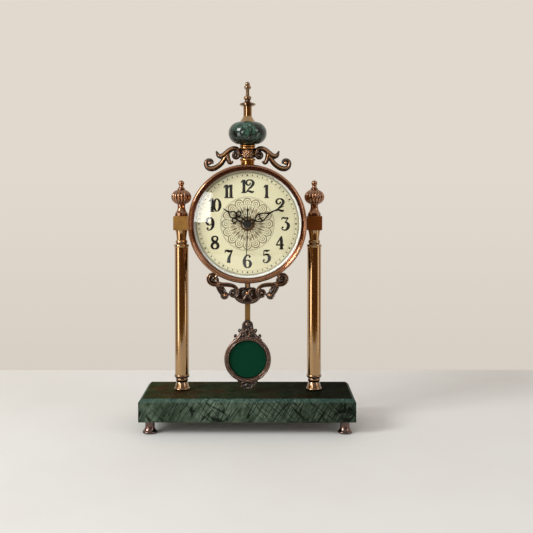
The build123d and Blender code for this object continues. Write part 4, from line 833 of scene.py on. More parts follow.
class CLOCK_OT_slab(bpy.types.Operator):
    """Shape the marble slab with its chamfer, polished edges and seats for the rods, and finish the ball"""

    bl_idname = "clock.slab"
    bl_label = "Marble"

    def execute(self, context):
        sizes = context.scene.clock_sizes
        low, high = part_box("marble_base")
        size = [top - bottom for bottom, top in zip(low, high)]
        middle = [(top + bottom) / 2 for bottom, top in zip(low, high)]
        bpy.ops.object.select_all(action="DESELECT")
        bpy.ops.mesh.primitive_cube_add(size=1.0, location=middle, scale=size)
        slab = settle(context.object, "marble_slab")
        bpy.ops.object.mode_set(mode="EDIT")
        bpy.ops.mesh.select_mode(type="EDGE")
        bpy.ops.mesh.select_all(action="DESELECT")
        bpy.ops.object.mode_set(mode="OBJECT")
        for edge in slab.data.edges:
            edge.select = all(slab.data.vertices[index].co.z > middle[2] for index in edge.vertices)
        bpy.ops.object.mode_set(mode="EDIT")
        bpy.ops.mesh.bevel(offset=sizes.slab_chamfer, segments=1, affect="EDGES")
        bpy.ops.object.mode_set(mode="OBJECT")
        for side in SIDES:
            for radius, bottom, top in ROD_BORES:
                bpy.ops.mesh.primitive_cylinder_add(
                    vertices=48, radius=radius, depth=top - bottom,
                    location=(side * ROD_REACH, 0.0, low[2] + (top + bottom) / 2))
                cutter = context.object
                work(slab, "BOOLEAN", operation="DIFFERENCE", object=cutter, solver="EXACT")
                bpy.data.objects.remove(cutter, do_unlink=True)
        work(slab, "BEVEL", width=sizes.slab_round, segments=3, limit_method="ANGLE")
        finish(slab, slab_marble(), "frame", ("marble_base",))
        paint(ball_marble(), "marble_ball")
        return {"FINISHED"}


# Turned metal

STEEL_PIECES = ("column_tie_rod", "rod_", "case_screws", "case_bolts", "crest_rod", "stem_nut")


class CLOCK_OT_turnings(bpy.types.Operator):
    """Finish the columns, finials, feet and other turned pieces"""

    bl_idname = "clock.turnings"
    bl_label = "Turned metal"

    def execute(self, context):
        for side in ("left", "right"):
            paint(metal("lacquered_brass"), f"column_tube_{side}", f"column_collar_{side}")
            paint(metal("dark_brass"), f"column_foot_{side}")
            paint(metal("lacquered_copper"), f"column_neck_{side}", f"fluted_ball_{side}",
                  f"column_knob_{side}")
        # painted light on the left block and painted shade on the right one, by lighter and darker copies of
        # one brass
        paint(metal("satin_brass"), "column_block_left")
        paint(metal("aged_brass"), "column_block_right")
        paint(metal("gilt_brass"), "crest_collars")
        paint(metal("lacquered_brass"), "spire_neck")
        paint(metal("dark_brass"), "spire")
        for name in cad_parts:
            if name.startswith("foot_"):
                paint(metal("dark_copper"), name)
            elif name.startswith(STEEL_PIECES):
                paint(metal("turned_steel"), name)
        return {"FINISHED"}


# Head


class CLOCK_OT_head(bpy.types.Operator):
    """Finish the drum, bezel, glass, ring, dial, hands and back of the head"""

    bl_idname = "clock.head"
    bl_label = "Head"

    def execute(self, context):
        paint(metal("lacquered_brass"), "case_drum")
        paint(spun_copper(), "bezel")
        paint(domed_glass(), "lens")
        paint(ring_enamel(), "dial_ring")
        paint(dial_paint(), "dial")
        paint(grained("hand_lacquer"), "hour_hand", "minute_hand", "second_hand")
        paint(grained("moulded_black"), "back_cover", "set_knob")
        return {"FINISHED"}


# Dial print

# Each numeral: strokes of (x, z, width) and round ends of (x, z, radius), one unit high
NUMERALS = {
    "0": ((((0.20, 0.0, 0.15), (0.14, 0.31, 0.11), (0.0, 0.455, 0.05), (-0.14, 0.31, 0.11),
            (-0.20, 0.0, 0.15), (-0.14, -0.31, 0.11), (0.0, -0.455, 0.05), (0.14, -0.31, 0.11),
            (0.20, 0.0, 0.15)),), ()),
    "1": ((((0.03, 0.49, 0.15), (0.03, 0.0, 0.13), (0.03, -0.46, 0.15)),
           ((0.06, 0.47, 0.05), (-0.06, 0.40, 0.09), (-0.17, 0.26, 0.04)),
           ((-0.14, -0.475, 0.05), (0.20, -0.475, 0.05))), ()),
    "2": ((((0.05, 0.20, 0.05), (-0.03, 0.10, 0.06), (-0.16, 0.10, 0.08), (-0.24, 0.24, 0.10),
            (-0.19, 0.40, 0.08), (-0.03, 0.47, 0.06), (0.14, 0.41, 0.10), (0.22, 0.24, 0.14),
            (0.14, 0.03, 0.11), (-0.04, -0.17, 0.08), (-0.20, -0.36, 0.05), (-0.26, -0.47, 0.04)),
           ((-0.25, -0.44, 0.04), (-0.10, -0.36, 0.08), (0.06, -0.41, 0.11), (0.18, -0.43, 0.10),
            (0.27, -0.36, 0.04))), ((0.02, 0.21, 0.06),)),
    "3": ((((-0.21, 0.30, 0.04), (-0.19, 0.44, 0.07), (0.0, 0.43, 0.09), (0.22, 0.46, 0.05)),
           ((0.21, 0.44, 0.05), (0.02, 0.13, 0.06)),
           ((-0.02, 0.12, 0.05), (0.11, 0.09, 0.09), (0.21, -0.05, 0.15), (0.21, -0.24, 0.16),
            (0.10, -0.42, 0.09), (-0.06, -0.46, 0.06), (-0.20, -0.38, 0.05), (-0.21, -0.28, 0.05))),
          ((-0.15, -0.27, 0.075),)),
    "4": ((((0.10, 0.49, 0.07), (0.10, 0.2, 0.14), (0.10, -0.46, 0.14)),
           ((0.10, 0.48, 0.06), (-0.06, 0.18, 0.07), (-0.25, -0.16, 0.05)),
           ((-0.27, -0.17, 0.07), (0.27, -0.17, 0.07)), ((-0.04, -0.475, 0.05), (0.24, -0.475, 0.05))), ()),
    "5": ((((-0.14, 0.44, 0.05), (0.04, 0.41, 0.12), (0.24, 0.48, 0.04)),
           ((-0.14, 0.46, 0.05), (-0.17, 0.06, 0.05)),
           ((-0.17, 0.05, 0.04), (0.0, 0.15, 0.08), (0.16, 0.07, 0.13), (0.21, -0.15, 0.16),
            (0.13, -0.37, 0.11), (-0.04, -0.46, 0.06), (-0.19, -0.39, 0.05), (-0.21, -0.29, 0.05))),
          ((-0.15, -0.28, 0.075),)),
    "6": ((((0.20, 0.32, 0.05), (0.13, 0.45, 0.05), (-0.02, 0.45, 0.06), (-0.15, 0.30, 0.11),
            (-0.21, 0.05, 0.16), (-0.19, -0.22, 0.15), (-0.10, -0.42, 0.09), (0.03, -0.46, 0.06),
            (0.16, -0.36, 0.12), (0.20, -0.17, 0.15), (0.13, 0.03, 0.10), (0.0, 0.09, 0.05),
            (-0.15, -0.02, 0.05)),),
          ((0.14, 0.33, 0.07),)),
    "7": ((((-0.24, 0.26, 0.04), (-0.20, 0.42, 0.07), (-0.04, 0.40, 0.13), (0.12, 0.39, 0.11),
            (0.26, 0.47, 0.05)),
           ((0.25, 0.45, 0.05), (0.14, 0.18, 0.08), (0.03, -0.12, 0.14), (0.0, -0.49, 0.17))), ()),
    "8": ((((0.0, 0.465, 0.06), (0.15, 0.40, 0.09), (0.16, 0.22, 0.10), (0.0, 0.03, 0.11),
            (-0.17, -0.12, 0.13), (-0.19, -0.32, 0.12), (0.0, -0.465, 0.06), (0.19, -0.33, 0.14),
            (0.18, -0.12, 0.14), (0.0, 0.04, 0.12), (-0.16, 0.22, 0.12), (-0.14, 0.40, 0.09),
            (0.0, 0.465, 0.06)),), ()),
}
NUMERALS["9"] = (
    tuple(tuple((-x, -z, width) for x, z, width in run) for run in NUMERALS["6"][0]),
    tuple((-x, -z, radius) for x, z, radius in NUMERALS["6"][1]),
)
NUMERAL_WIDTH = 1.12
NUMERAL_WEIGHT = 1.58
NUMERAL_STEP = {"10": (-0.24, 0.16), "11": (-0.17, 0.15), "12": (-0.29, 0.19)}

# Points on the round lines of the print, and on the round ends of the numerals
CIRCLE_POINTS = 24
END_POINTS = 8

# Lines and marks of the minute track: widths, half lengths and the way out to its edge
TRACK_LINE = 0.16
EDGE_LINE = 0.45
EDGE_OUT = 1.0
MINUTE_MARK = (1.15, 0.85)
FIVE_MARK = (1.70, 0.95)

# Medallion: rings of (radius, width), and in each part leaves of (radius, share of a part aside, width)
MEDALLION_PARTS = 16
MEDALLION_WEIGHT = 0.95
MEDALLION_RINGS = ((31.2, 0.40), (30.0, 0.26), (22.4, 0.40), (11.2, 0.5), (7.2, 2.6))
MEDALLION_LEAVES = (
    ((23.0, -0.5, 0.4), (26.6, -0.42, 0.9), (28.9, -0.2, 1.1), (29.4, 0.0, 0.8), (28.9, 0.2, 1.1),
     (26.6, 0.42, 0.9), (23.0, 0.5, 0.4)),
    ((23.2, -0.22, 0.4), (25.8, -0.2, 0.8), (27.0, 0.0, 0.7), (25.8, 0.2, 0.8), (23.2, 0.22, 0.4)),
    ((23.3, 0.0, 0.3), (24.4, 0.0, 1.3), (25.5, 0.0, 0.3)),
    ((11.6, 0.0, 0.3), (16.0, 0.0, 1.8), (21.8, 0.0, 0.3)),
    ((12.6, -0.08, 0.2), (16.6, -0.30, 0.8), (19.6, -0.34, 0.5), (21.0, -0.22, 0.2)),
    ((12.6, 0.08, 0.2), (16.6, 0.30, 0.8), (19.6, 0.34, 0.5), (21.0, 0.22, 0.2)),
    ((7.4, 0.5, 0.3), (12.0, 0.5, 0.6), (18.0, 0.5, 0.9), (22.2, 0.5, 0.25)),
    ((7.2, 0.0, 0.4), (9.2, 0.0, 1.9), (10.9, 0.0, 0.3)),
)

# Thickness of the print on the dial, in millimetres
NUMERAL_LIFT = 0.012
MEDALLION_LIFT = 0.008
MEDALLION_STEPS = 4


def polar(radius, turn):
    """A point on the dial, a share of a turn clockwise from the top."""
    return radius * math.sin(2 * math.pi * turn), radius * math.cos(2 * math.pi * turn)


def circle_run(x, z, radius, width, count=CIRCLE_POINTS):
    """A closed run round a circle."""
    points = [(px, pz, width) for px, pz in ring_points(x, z, radius, count)]
    return points + [points[0]]


def ray(turn, *stations):
    """A run out from the dial's middle, of (radius, turn aside, width) stations."""
    return [(*polar(radius, turn + aside), width) for radius, aside, width in stations]


def numeral_runs(sizes):
    """Strokes and round ends of the twelve hours."""
    tall = sizes.numeral_height / MM
    runs = []
    for hour in range(1, 13):
        middle_x, middle_z = polar(sizes.numeral_circle / MM, hour / 12)
        label = str(hour)
        for digit, step in zip(label, NUMERAL_STEP.get(label, (0.0,))):
            strokes, ends = NUMERALS[digit]
            for stroke in strokes:
                runs.append([(middle_x + (x * NUMERAL_WIDTH + step) * tall, middle_z + z * tall,
                              width * tall * NUMERAL_WEIGHT) for x, z, width in stroke])
            for x, z, radius in ends:
                runs.append(circle_run(middle_x + (x * NUMERAL_WIDTH + step) * tall, middle_z + z * tall,
                                       radius * tall / 2, radius * tall, END_POINTS))
    return runs


def track_runs(sizes):
    """Fine circles with a short mark each minute, a little heavier each five."""
    inner = sizes.track_inner / MM
    outer = sizes.track_outer / MM
    middle = (inner + outer) / 2
    circles = ((inner, TRACK_LINE), (outer, TRACK_LINE), (outer + EDGE_OUT, EDGE_LINE))
    runs = [circle_run(0.0, 0.0, radius, width) for radius, width in circles]
    for minute in range(60):
        wide, tall = MINUTE_MARK if minute % 5 else FIVE_MARK
        runs.append(ray(minute / 60, (middle - tall, 0.0, wide), (middle + tall, 0.0, wide)))
    return runs


def medallion_runs(sizes):
    """Rings, scallops and leaves of the ornament."""
    size = sizes.medallion_radius / MM / MEDALLION_RINGS[0][0]
    runs = [circle_run(0.0, 0.0, radius * size, width) for radius, width in MEDALLION_RINGS]
    for part in range(MEDALLION_PARTS):
        for leaf in MEDALLION_LEAVES:
            stations = [(radius * size, aside / MEDALLION_PARTS, width) for radius, aside, width in leaf]
            runs.append(ray(part / MEDALLION_PARTS, *stations))
    return [[(x, z, width * MEDALLION_WEIGHT) for x, z, width in run] for run in runs]


class CLOCK_OT_dial_print(bpy.types.Operator):
    """Draw the numerals, the minute track and the ornament on the dial"""

    bl_idname = "clock.dial_print"
    bl_label = "Dial print"

    def execute(self, context):
        sizes = context.scene.clock_sizes
        print_runs = raised(numeral_runs(sizes) + track_runs(sizes), HEAD_HEIGHT)
        black = sweep("dial_numerals", print_runs, RIBBON, DIAL_FRONT - NUMERAL_LIFT)
        finish(black, grained("dial_ink"), "frame")
        ornament = raised(medallion_runs(sizes), HEAD_HEIGHT)
        brown = sweep("dial_medallion", ornament, RIBBON, DIAL_FRONT - MEDALLION_LIFT, MEDALLION_STEPS)
        finish(brown, ornament_ink(), "frame")
        return {"FINISHED"}


# Castings

CREST_SCROLLS = (
    ((4.4, 4.4, 4.6), (9.4, 5.2, 4.8), (11.3, 10.2, 5.3), (15.7, 11.7, 5.8), (20.8, 9.8, 6.4),
     (25.5, 5.8, 6.9), (30.2, 2.6, 6.9), (34.1, 3.4, 5.5), (36.3, 7.4, 2.8)),
    ((23.9, 3.6, 5.3), (27.1, -0.3, 5.8), (31.0, -5.8, 6.2), (35.7, -9.6, 6.4), (40.4, -11.8, 6.7),
     (45.9, -11.4, 6.0), (48.8, -7.8, 5.2), (48.5, -3.7, 4.6), (45.2, -1.7, 4.1), (41.8, -3.1, 3.6),
     (41.4, -6.4, 3.1)),
    ((23.9, 4.4, 5.8), (22.7, -1.1, 5.5), (20.8, -4.8, 5.1), (18.0, -4.4, 3.7)),
    ((17.0, 3.6, 3.4), (13.7, 6.9, 3.7), (10.4, 3.6, 3.9), (13.7, 0.3, 3.7), (17.0, 3.6, 3.4)),
)
CREST_RIDGES = (
    ((4.0, 2.4, 3.0), (10.0, 2.8, 3.0)),
    ((4.0, 8.2, 2.6), (11.0, 8.6, 3.0)),
)
CREST_CHEEK = ((4.0, 1.2), (9.0, 1.4), (11.6, 5.0), (10.8, 9.4), (4.0, 9.8))
CREST_EYES = ((44.6, -5.4, 2.4), (18.2, -4.2, 1.7), (13.7, 3.6, 1.5), (36.6, 7.8, 1.2))

# Boss of the crest, with strands of beads that cross on it
BOSS_RADIUS = 5.7
BOSS_HEIGHT = 10.8
STRANDS = 10
STRAND_BEADS = 9
STRAND_REACH = 6.0
STRAND_FOOT = 1.2
STRAND_RISE = 1.05
STRAND_LEAN = 0.16
STRAND_BEAD = 0.75

APRON_CHANNELS = (
    ((36.1, -69.2, 4.5), (30.2, -71.1, 5.0), (22.7, -71.6, 5.2), (16.0, -73.3, 4.6), (11.9, -77.0, 3.8),
     (11.0, -80.4, 3.0)),
    ((30.2, -71.1, 4.4), (36.5, -71.8, 4.2), (42.6, -70.4, 4.0), (46.0, -66.2, 3.8), (45.2, -61.2, 3.6),
     (41.4, -59.0, 3.4), (37.4, -60.8, 3.2), (36.4, -64.6, 3.0), (38.8, -67.2, 2.6), (41.4, -65.8, 2.2)),
    ((30.6, -82.6, 2.6), (29.8, -86.0, 2.8), (26.4, -87.4, 2.8), (23.4, -85.2, 2.6), (23.6, -81.8, 2.2),
     (26.2, -80.8, 2.0)),
    ((12.2, -78.4, 3.0), (11.8, -82.0, 2.8), (14.2, -85.2, 2.7), (18.0, -85.2, 2.6), (20.6, -82.2, 2.4),
     (19.8, -78.8, 2.2), (17.0, -77.4, 2.0), (14.6, -79.2, 1.8), (14.8, -82.0, 1.7), (17.0, -82.8, 1.5)),
    ((15.2, -86.0, 1.8), (11.6, -89.4, 2.6), (6.4, -92.0, 3.0), (0.0, -93.0, 2.8)),
)
APRON_RIDGES = (
    ((36.6, -72.4, 1.6), (35.4, -76.0, 1.8), (33.6, -79.6, 1.7), (31.2, -83.2, 1.4)),
    ((34.4, -72.6, 1.6), (32.8, -76.0, 1.8), (30.8, -79.4, 1.7), (28.8, -82.6, 1.3)),
    ((32.0, -72.8, 1.6), (30.2, -75.8, 1.8), (28.2, -79.0, 1.6), (26.6, -82.0, 1.2)),
    ((29.6, -72.8, 1.5), (27.6, -75.4, 1.7), (25.8, -78.2, 1.5), (24.6, -80.6, 1.2)),
    ((1.8, -86.0, 1.6), (5.6, -88.6, 2.4), (10.2, -88.2, 2.6), (14.6, -85.8, 1.6)),
    ((0.8, -80.6, 1.6), (3.0, -77.8, 2.0), (5.4, -75.6, 1.8), (8.6, -75.2, 1.5)),
    ((0.8, -83.0, 1.6), (2.8, -85.8, 2.0), (6.2, -90.2, 1.7)),
    ((2.6, -82.0, 1.2), (4.0, -79.6, 1.4), (4.4, -83.6, 1.4), (2.6, -82.0, 1.2)),
)
APRON_STAYS = (
    ((33.4, -56.6, 4.4), (37.4, -62.8, 4.4)),
    ((0.0, -66.0, 5.6), (0.0, -70.0, 5.6), (0.0, -75.0, 5.0)),
)
APRON_EYES = ((16.8, -80.9, 1.3), (26.4, -83.8, 2.2), (39.6, -63.6, 1.2))
APRON_FAN_PLATE = ((37.2, -70.6), (36.4, -75.0), (33.4, -80.4), (30.6, -85.6), (26.4, -86.6), (23.8, -83.0),
                   (26.4, -79.4), (28.4, -75.4), (29.2, -71.6))
APRON_LOOP_PLATE = ((36.4, -62.0), (41.0, -60.4), (44.6, -63.6), (44.0, -68.6), (39.0, -70.6), (34.4, -69.0),
                    (33.6, -64.6))
APRON_DROP = (-81.8, 2.5, (0.85, 0.7, 1.1))
APRON_VOLUTE = (16.4, -81.4, 4.4)
APRON_PLATE = ((0.0, -92.6), (7.6, -90.8), (12.6, -86.8), (12.4, -80.6), (9.0, -75.4), (4.0, -74.4),
               (0.0, -74.2))

BOB_CHANNELS = (
    ((16.6, 22.0, 2.8), (12.6, 25.4, 2.8), (9.2, 29.2, 2.6), (6.8, 34.0, 2.4), (5.6, 38.6, 2.2),
     (5.2, 42.0, 2.1), (3.2, 44.6, 1.9), (0.0, 45.3, 1.8)),
    ((10.4, 28.0, 2.0), (12.6, 25.6, 1.9), (15.1, 26.6, 1.8), (14.8, 29.0, 1.7), (12.8, 29.0, 1.5)),
    ((6.6, 34.8, 1.8), (8.4, 32.2, 1.8), (10.4, 33.4, 1.6), (9.8, 35.6, 1.5), (8.2, 35.2, 1.3)),
    ((11.6, -25.0, 1.8), (8.9, -27.9, 1.8), (6.7, -30.3, 1.7), (5.9, -32.2, 1.6), (3.1, -34.2, 1.6),
     (0.0, -35.3, 1.6)),
    ((3.0, -31.6, 1.5), (0.0, -29.6, 1.5), (-3.0, -31.6, 1.5)),
)
BOB_RIDGES = (
    ((1.0, 27.2, 1.8), (3.0, 29.6, 2.1), (6.6, 28.6, 1.5)),
    ((1.2, 36.2, 1.6), (2.6, 32.8, 2.0), (1.6, 29.8, 1.3)),
    ((4.4, 37.6, 1.4), (4.6, 33.0, 1.8), (6.4, 30.6, 1.2)),
    ((1.2, -27.4, 1.4), (4.2, -27.2, 1.8), (7.4, -28.2, 1.2)),
    ((6.2, -31.0, 1.3), (7.6, -32.0, 1.4), (6.8, -33.4, 1.2)),
)
BOB_CREST_FIELD = ((0.0, 22.0), (14.6, 22.4), (10.0, 28.8), (7.2, 34.0), (5.8, 41.6), (3.0, 44.6),
                   (0.0, 45.2))
BOB_DROP_FIELD = ((0.0, -35.2), (3.0, -33.8), (5.6, -31.2), (8.4, -27.8), (10.8, -24.2), (0.0, -22.4))
BOB_RING = ((27.0, -18.6), (26.3, -19.0), (25.7, -18.2), (23.7, -18.2), (23.2, -18.9), (22.8, -18.9),
            (21.7, -16.9), (21.7, -15.6), (22.4, -15.0), (22.4, -14.0), (23.6, -13.0), (26.6, -13.0),
            (27.5, -13.8), (27.5, -18.0))
BOB_GAP = (3.4, 33.4, 1.5)
BOB_EYE = (0.0, -32.6, 1.7)
BOB_KNOB = (41.0, 3.3, (1.0, 0.75, 1.0))
BOB_DROP = (-27.6, 1.6, (1.4, 0.8, 1.0))
BOB_PEARLS = ((13.4, 27.6, 1.0), (8.3, 34.2, 0.9))
BOB_FIELD = 2.6

# Strands of the rope band round the bob
ROPE_REACH = 24.7
ROPE_FRONT = 2.35
ROPE_SCALE = (0.62, 0.62, 1.25)
ROPE_LEAN = math.radians(38)


class CLOCK_OT_crest(bpy.types.Operator):
    """Cast the crest with its scrolls, volutes and carved boss"""

    bl_idname = "clock.crest"
    bl_label = "Crest"

    def execute(self, context):
        sizes = context.scene.clock_sizes
        parts = [
            sweep("crest_scrolls", paired(CREST_SCROLLS, CREST_HEIGHT), RIDGE, CREST_PLANE - 0.4),
            sweep("crest_ridges", paired(CREST_RIDGES, CREST_HEIGHT), RIDGE, CREST_PLANE - 0.2),
            *cheeks("crest_cheek", (CREST_CHEEK,), CREST_HEIGHT, 1.6, CREST_PLANE + 0.8),
            *eyes(CREST_EYES, CREST_HEIGHT, CREST_PLANE - 0.8),
        ]
        bpy.ops.mesh.primitive_cylinder_add(
            vertices=64, radius=BOSS_RADIUS * MM, depth=BOSS_HEIGHT * MM,
            location=(0.0, CREST_PLANE * MM, (CREST_HEIGHT + BOSS_HEIGHT / 2) * MM))
        parts.append(settle(context.object, "boss"))
        for strand, step, lean in itertools.product(range(STRANDS), range(STRAND_BEADS), SIDES):
            turn = 2 * math.pi * strand / STRANDS + lean * step * STRAND_LEAN
            parts.append(bead(STRAND_REACH * math.sin(turn), CREST_PLANE - STRAND_REACH * math.cos(turn),
                              CREST_HEIGHT + STRAND_FOOT + step * STRAND_RISE, STRAND_BEAD, segments=8))
        crest = fuse("crest_casting", parts, sizes.casting_grain)
        finish(crest, metal("crest_bronze"), "frame", ("crest_scroll",))
        return {"FINISHED"}


class CLOCK_OT_apron(bpy.types.Operator):
    """Cast the apron with its loops, leaves and volutes"""

    bl_idname = "clock.apron"
    bl_label = "Apron"

    def execute(self, context):
        sizes = context.scene.clock_sizes
        backs = (APRON_FAN_PLATE, APRON_LOOP_PLATE, ring_points(*APRON_VOLUTE))
        parts = [
            *cheeks("apron_cheek", backs, HEAD_HEIGHT, 1.4, APRON_PLANE + 1.4),
            plate("apron_field", [both_sides(APRON_PLATE, HEAD_HEIGHT)], 1.6, APRON_PLANE + 1.2),
            sweep("apron_channels", paired(APRON_CHANNELS, HEAD_HEIGHT), CHANNEL, APRON_PLANE),
            sweep("apron_ridges", paired(APRON_RIDGES, HEAD_HEIGHT), RIDGE, APRON_PLANE - 0.3),
            sweep("apron_stays", paired(APRON_STAYS, HEAD_HEIGHT), RIDGE, APRON_PLANE + 0.2),
            bead(0.0, APRON_PLANE - 0.4, HEAD_HEIGHT + APRON_DROP[0], *APRON_DROP[1:]),
            *eyes(APRON_EYES, HEAD_HEIGHT, APRON_PLANE - 0.5),
        ]
        apron = fuse("apron_casting", parts, sizes.casting_grain)
        finish(apron, metal("apron_bronze"), "frame", ("apron_scroll",))
        return {"FINISHED"}


class CLOCK_OT_pendulum(bpy.types.Operator):
    """Cast the bob with its rim, crest and drop, lay its rope band and finish the rod and the insert"""

    bl_idname = "clock.pendulum"
    bl_label = "Pendulum"

    def execute(self, context):
        sizes = context.scene.clock_sizes
        across, up, gap = BOB_GAP
        gaps = [ring_points(side * across, BOB_HEIGHT + up, gap) for side in SIDES]
        hole = ring_points(BOB_EYE[0], BOB_HEIGHT + BOB_EYE[1], BOB_EYE[2])
        crest_field = [both_sides(BOB_CREST_FIELD, BOB_HEIGHT), *gaps]
        drop_field = [both_sides(BOB_DROP_FIELD, BOB_HEIGHT), hole]
        parts = [
            turned("bob_ring", BOB_RING, BOB_HEIGHT),
            plate("bob_crest_field", crest_field, BOB_FIELD, BOB_PLANE),
            plate("bob_drop_field", drop_field, BOB_FIELD, BOB_PLANE),
            sweep("bob_channels", paired(BOB_CHANNELS, BOB_HEIGHT), CHANNEL, BOB_PLANE - 1.7),
            sweep("bob_ridges", paired(BOB_RIDGES, BOB_HEIGHT), RIDGE, BOB_PLANE - 2.0),
            bead(0.0, BOB_PLANE - 0.8, BOB_HEIGHT + BOB_KNOB[0], *BOB_KNOB[1:], segments=28),
            bead(0.0, BOB_PLANE - 0.9, BOB_HEIGHT + BOB_DROP[0], *BOB_DROP[1:]),
            *eyes(BOB_PEARLS, BOB_HEIGHT, BOB_PLANE - 1.0),
        ]
        bob = fuse("bob_casting", parts, sizes.casting_grain)
        finish(bob, metal("bob_bronze"), "pendulum", ("bob_frame",))
        strands = []
        for index in range(sizes.rope_turns):
            turn = 2 * math.pi * index / sizes.rope_turns
            strands.append(bead(
                ROPE_REACH * math.sin(turn), BOB_PLANE - ROPE_FRONT,
                BOB_HEIGHT + ROPE_REACH * math.cos(turn), 1.0,
                ROPE_SCALE, (0.0, turn + ROPE_LEAN, 0.0), segments=10))
        rope = join("bob_rope", strands)
        choose(rope)
        bpy.ops.object.shade_smooth()
        finish(rope, metal("bob_bronze"), "pendulum")
        paint(metal("brushed_rod"), "pendulum_rod")
        paint(grained("bob_lacquer"), "bob_insert")
        paint(grained("moulded_black"), "pendulum_lever")
        return {"FINISHED"}


class CLOCK_OT_movement(bpy.types.Operator):
    """Finish the movement: case, wheels, motor, board and cell"""

    bl_idname = "clock.movement"
    bl_label = "Movement"

    def execute(self, context):
        paint(grained("moulded_black"), "movement_case", "movement_cover")
        paint(grained("wheel_plastic"), "rotor", "intermediate_wheel", "second_wheel", "third_wheel",
              "centre_wheel", "motion_wheel", "hour_wheel")
        paint(grained("board_lacquer"), "circuit_board")
        paint(wound_copper(), "stepping_motor", "drive_coil")
        paint(cell_sleeve(), "battery")
        return {"FINISHED"}


# Stage: table top, backdrop, lamps and camera, in metres and degrees

TABLE_FRONT = -0.36
TABLE_SIDE = 0.50
WALL_PLANE = 0.294
WALL_SIZE = 3.0
CAMERA_PLACE = (0.0211, -0.9819, 0.2850)
CAMERA_TILT = 88.0
CAMERA_SENSOR = 36.0
CAMERA_LENS = 55.79
CAMERA_SHIFT = (0.0017, -0.0955)
# Name, place, aim, size, brightness of the face and colour of each lamp
LAMPS = (
    ("key", (-3.82, -2.38, 2.62), (0.0, 0.0, 0.20), (1.75, 1.75), 16.0, (1.0, 0.995, 0.985)),
    ("fill", (1.95, -1.15, 1.20), (0.0, 0.0, 0.15), (0.70, 0.90), 3.0, (1.0, 0.99, 0.98)),
    ("window", (-0.654, -1.095, 0.42), (-0.05, -0.03, 0.26), (0.26, 0.42), 6.5, (1.0, 1.0, 1.0)),
    ("left_panel", (-0.90, -0.63, -0.03), (-0.05, 0.0, -0.03), (0.40, 0.66), 4.0, (1.0, 0.98, 0.94)),
    ("right_panel", (1.03, -0.38, -0.03), (0.05, 0.0, -0.03), (0.34, 0.66), 1.8, (1.0, 0.96, 0.90)),
)
DIM_LIGHT = (1.0, 0.48, 0.20, 1.0)
FULL_LIGHT = (1.0, 0.99, 0.97, 1.0)


def one_sided(material, tree, surface, lets_light_in):
    """Let a backdrop be seen only from the side that faces the clock."""
    clear = place(tree, "ShaderNodeBsdfTransparent")
    behind = place(tree, "ShaderNodeNewGeometry").outputs["Backfacing"]
    if not lets_light_in:
        behind = calc(tree, "MULTIPLY", behind, place(tree, "ShaderNodeLightPath").outputs["Is Camera Ray"])
    mixed = place(tree, "ShaderNodeMixShader", {0: behind, 1: surface, 2: clear.outputs["BSDF"]})
    tree.links.new(mixed.outputs[0], tree.nodes["Material Output"].inputs["Surface"])
    return material


def looked_at(tree):
    """1 where a surface is seen by the camera, in a reflection or through glass."""
    path = place(tree, "ShaderNodeLightPath").outputs
    mirrored_too = calc(tree, "MAXIMUM", path["Is Camera Ray"], path["Is Glossy Ray"])
    return calc(tree, "MAXIMUM", mirrored_too, path["Is Transmission Ray"])


def pale_floor():
    """Smooth pale top of the table."""
    material, tree, shader = fresh("pale_floor")
    clouds = fit(tree, noise(tree, object_place(tree), 3.0), 0.35, 0.65)
    feed(tree, shader, {
        "Base Color": blend(tree, clouds, colour("floor"), colour((226, 226, 223))),
        "Roughness": 0.7, "Specular IOR Level": 0.1})
    return one_sided(material, tree, shader.outputs["BSDF"], False)


def pale_wall():
    """Plain backdrop, with painted shade that makes it a little darker towards its foot."""
    material, tree, shader = fresh("pale_wall")
    # painted shade: the backdrop darkens towards its foot
    height = fit(tree, axes(tree, object_place(tree))["Z"], 0.0, 0.30)
    tone = blend(tree, height, colour("wall_low"), colour("wall"))
    feed(tree, shader, {"Base Color": tone, "Roughness": 0.9, "Specular IOR Level": 0.0})
    glow = place(tree, "ShaderNodeEmission", {"Color": tone, "Strength": 1.0})
    plain = place(tree, "ShaderNodeMixShader", {
        0: looked_at(tree), 1: shader.outputs["BSDF"], 2: glow.outputs[0]})
    return one_sided(material, tree, plain.outputs[0], True)


def lamp(name, place_at, aim, size, radiance, warmth):
    """A soft rectangular lamp; radiance is the brightness of its face."""
    bpy.ops.object.light_add(type="AREA", location=place_at)
    light = bpy.context.object
    light.name = name
    light.data.shape = "RECTANGLE"
    light.data.size = size[0]
    light.data.size_y = size[1]
    light.data.energy = radiance * math.pi * size[0] * size[1]
    light.data.color = warmth
    heading = [goal - start for goal, start in zip(aim, place_at)]
    flat = math.hypot(heading[0], heading[1])
    compass = math.atan2(heading[1], heading[0]) - math.pi / 2
    light.rotation_euler = (math.atan2(flat, -heading[2]), 0.0, compass)


def room():
    """A plain room round the table: light above and behind, dim in front, pale to the camera."""
    world = bpy.data.worlds.new("plain_room")
    bpy.context.scene.world = world
    world.use_nodes = True
    tree = world.node_tree
    tree.nodes.clear()
    heading = axes(tree, place(tree, "ShaderNodeTexCoord").outputs["Generated"])
    above = fit(tree, heading["Z"], 0.05, 0.85, 0.13, 0.68)
    behind = fit(tree, heading["Y"], -0.1, 0.5)
    level = calc(tree, "ADD", above, calc(tree, "MULTIPLY", behind, 0.35))
    tone = blend(tree, fit(tree, level, 0.16, 0.40), DIM_LIGHT, FULL_LIGHT)
    light = place(tree, "ShaderNodeBackground", {"Color": tone, "Strength": level})
    pale = place(tree, "ShaderNodeBackground", {"Color": colour("wall"), "Strength": 1.0})
    camera = place(tree, "ShaderNodeLightPath").outputs["Is Camera Ray"]
    seen = calc(tree, "MAXIMUM", camera, calc(tree, "MULTIPLY", looked_at(tree), behind))
    mixed = place(tree, "ShaderNodeMixShader", {0: seen, 1: light.outputs[0], 2: pale.outputs[0]})
    place(tree, "ShaderNodeOutputWorld", {"Surface": mixed.outputs[0]})


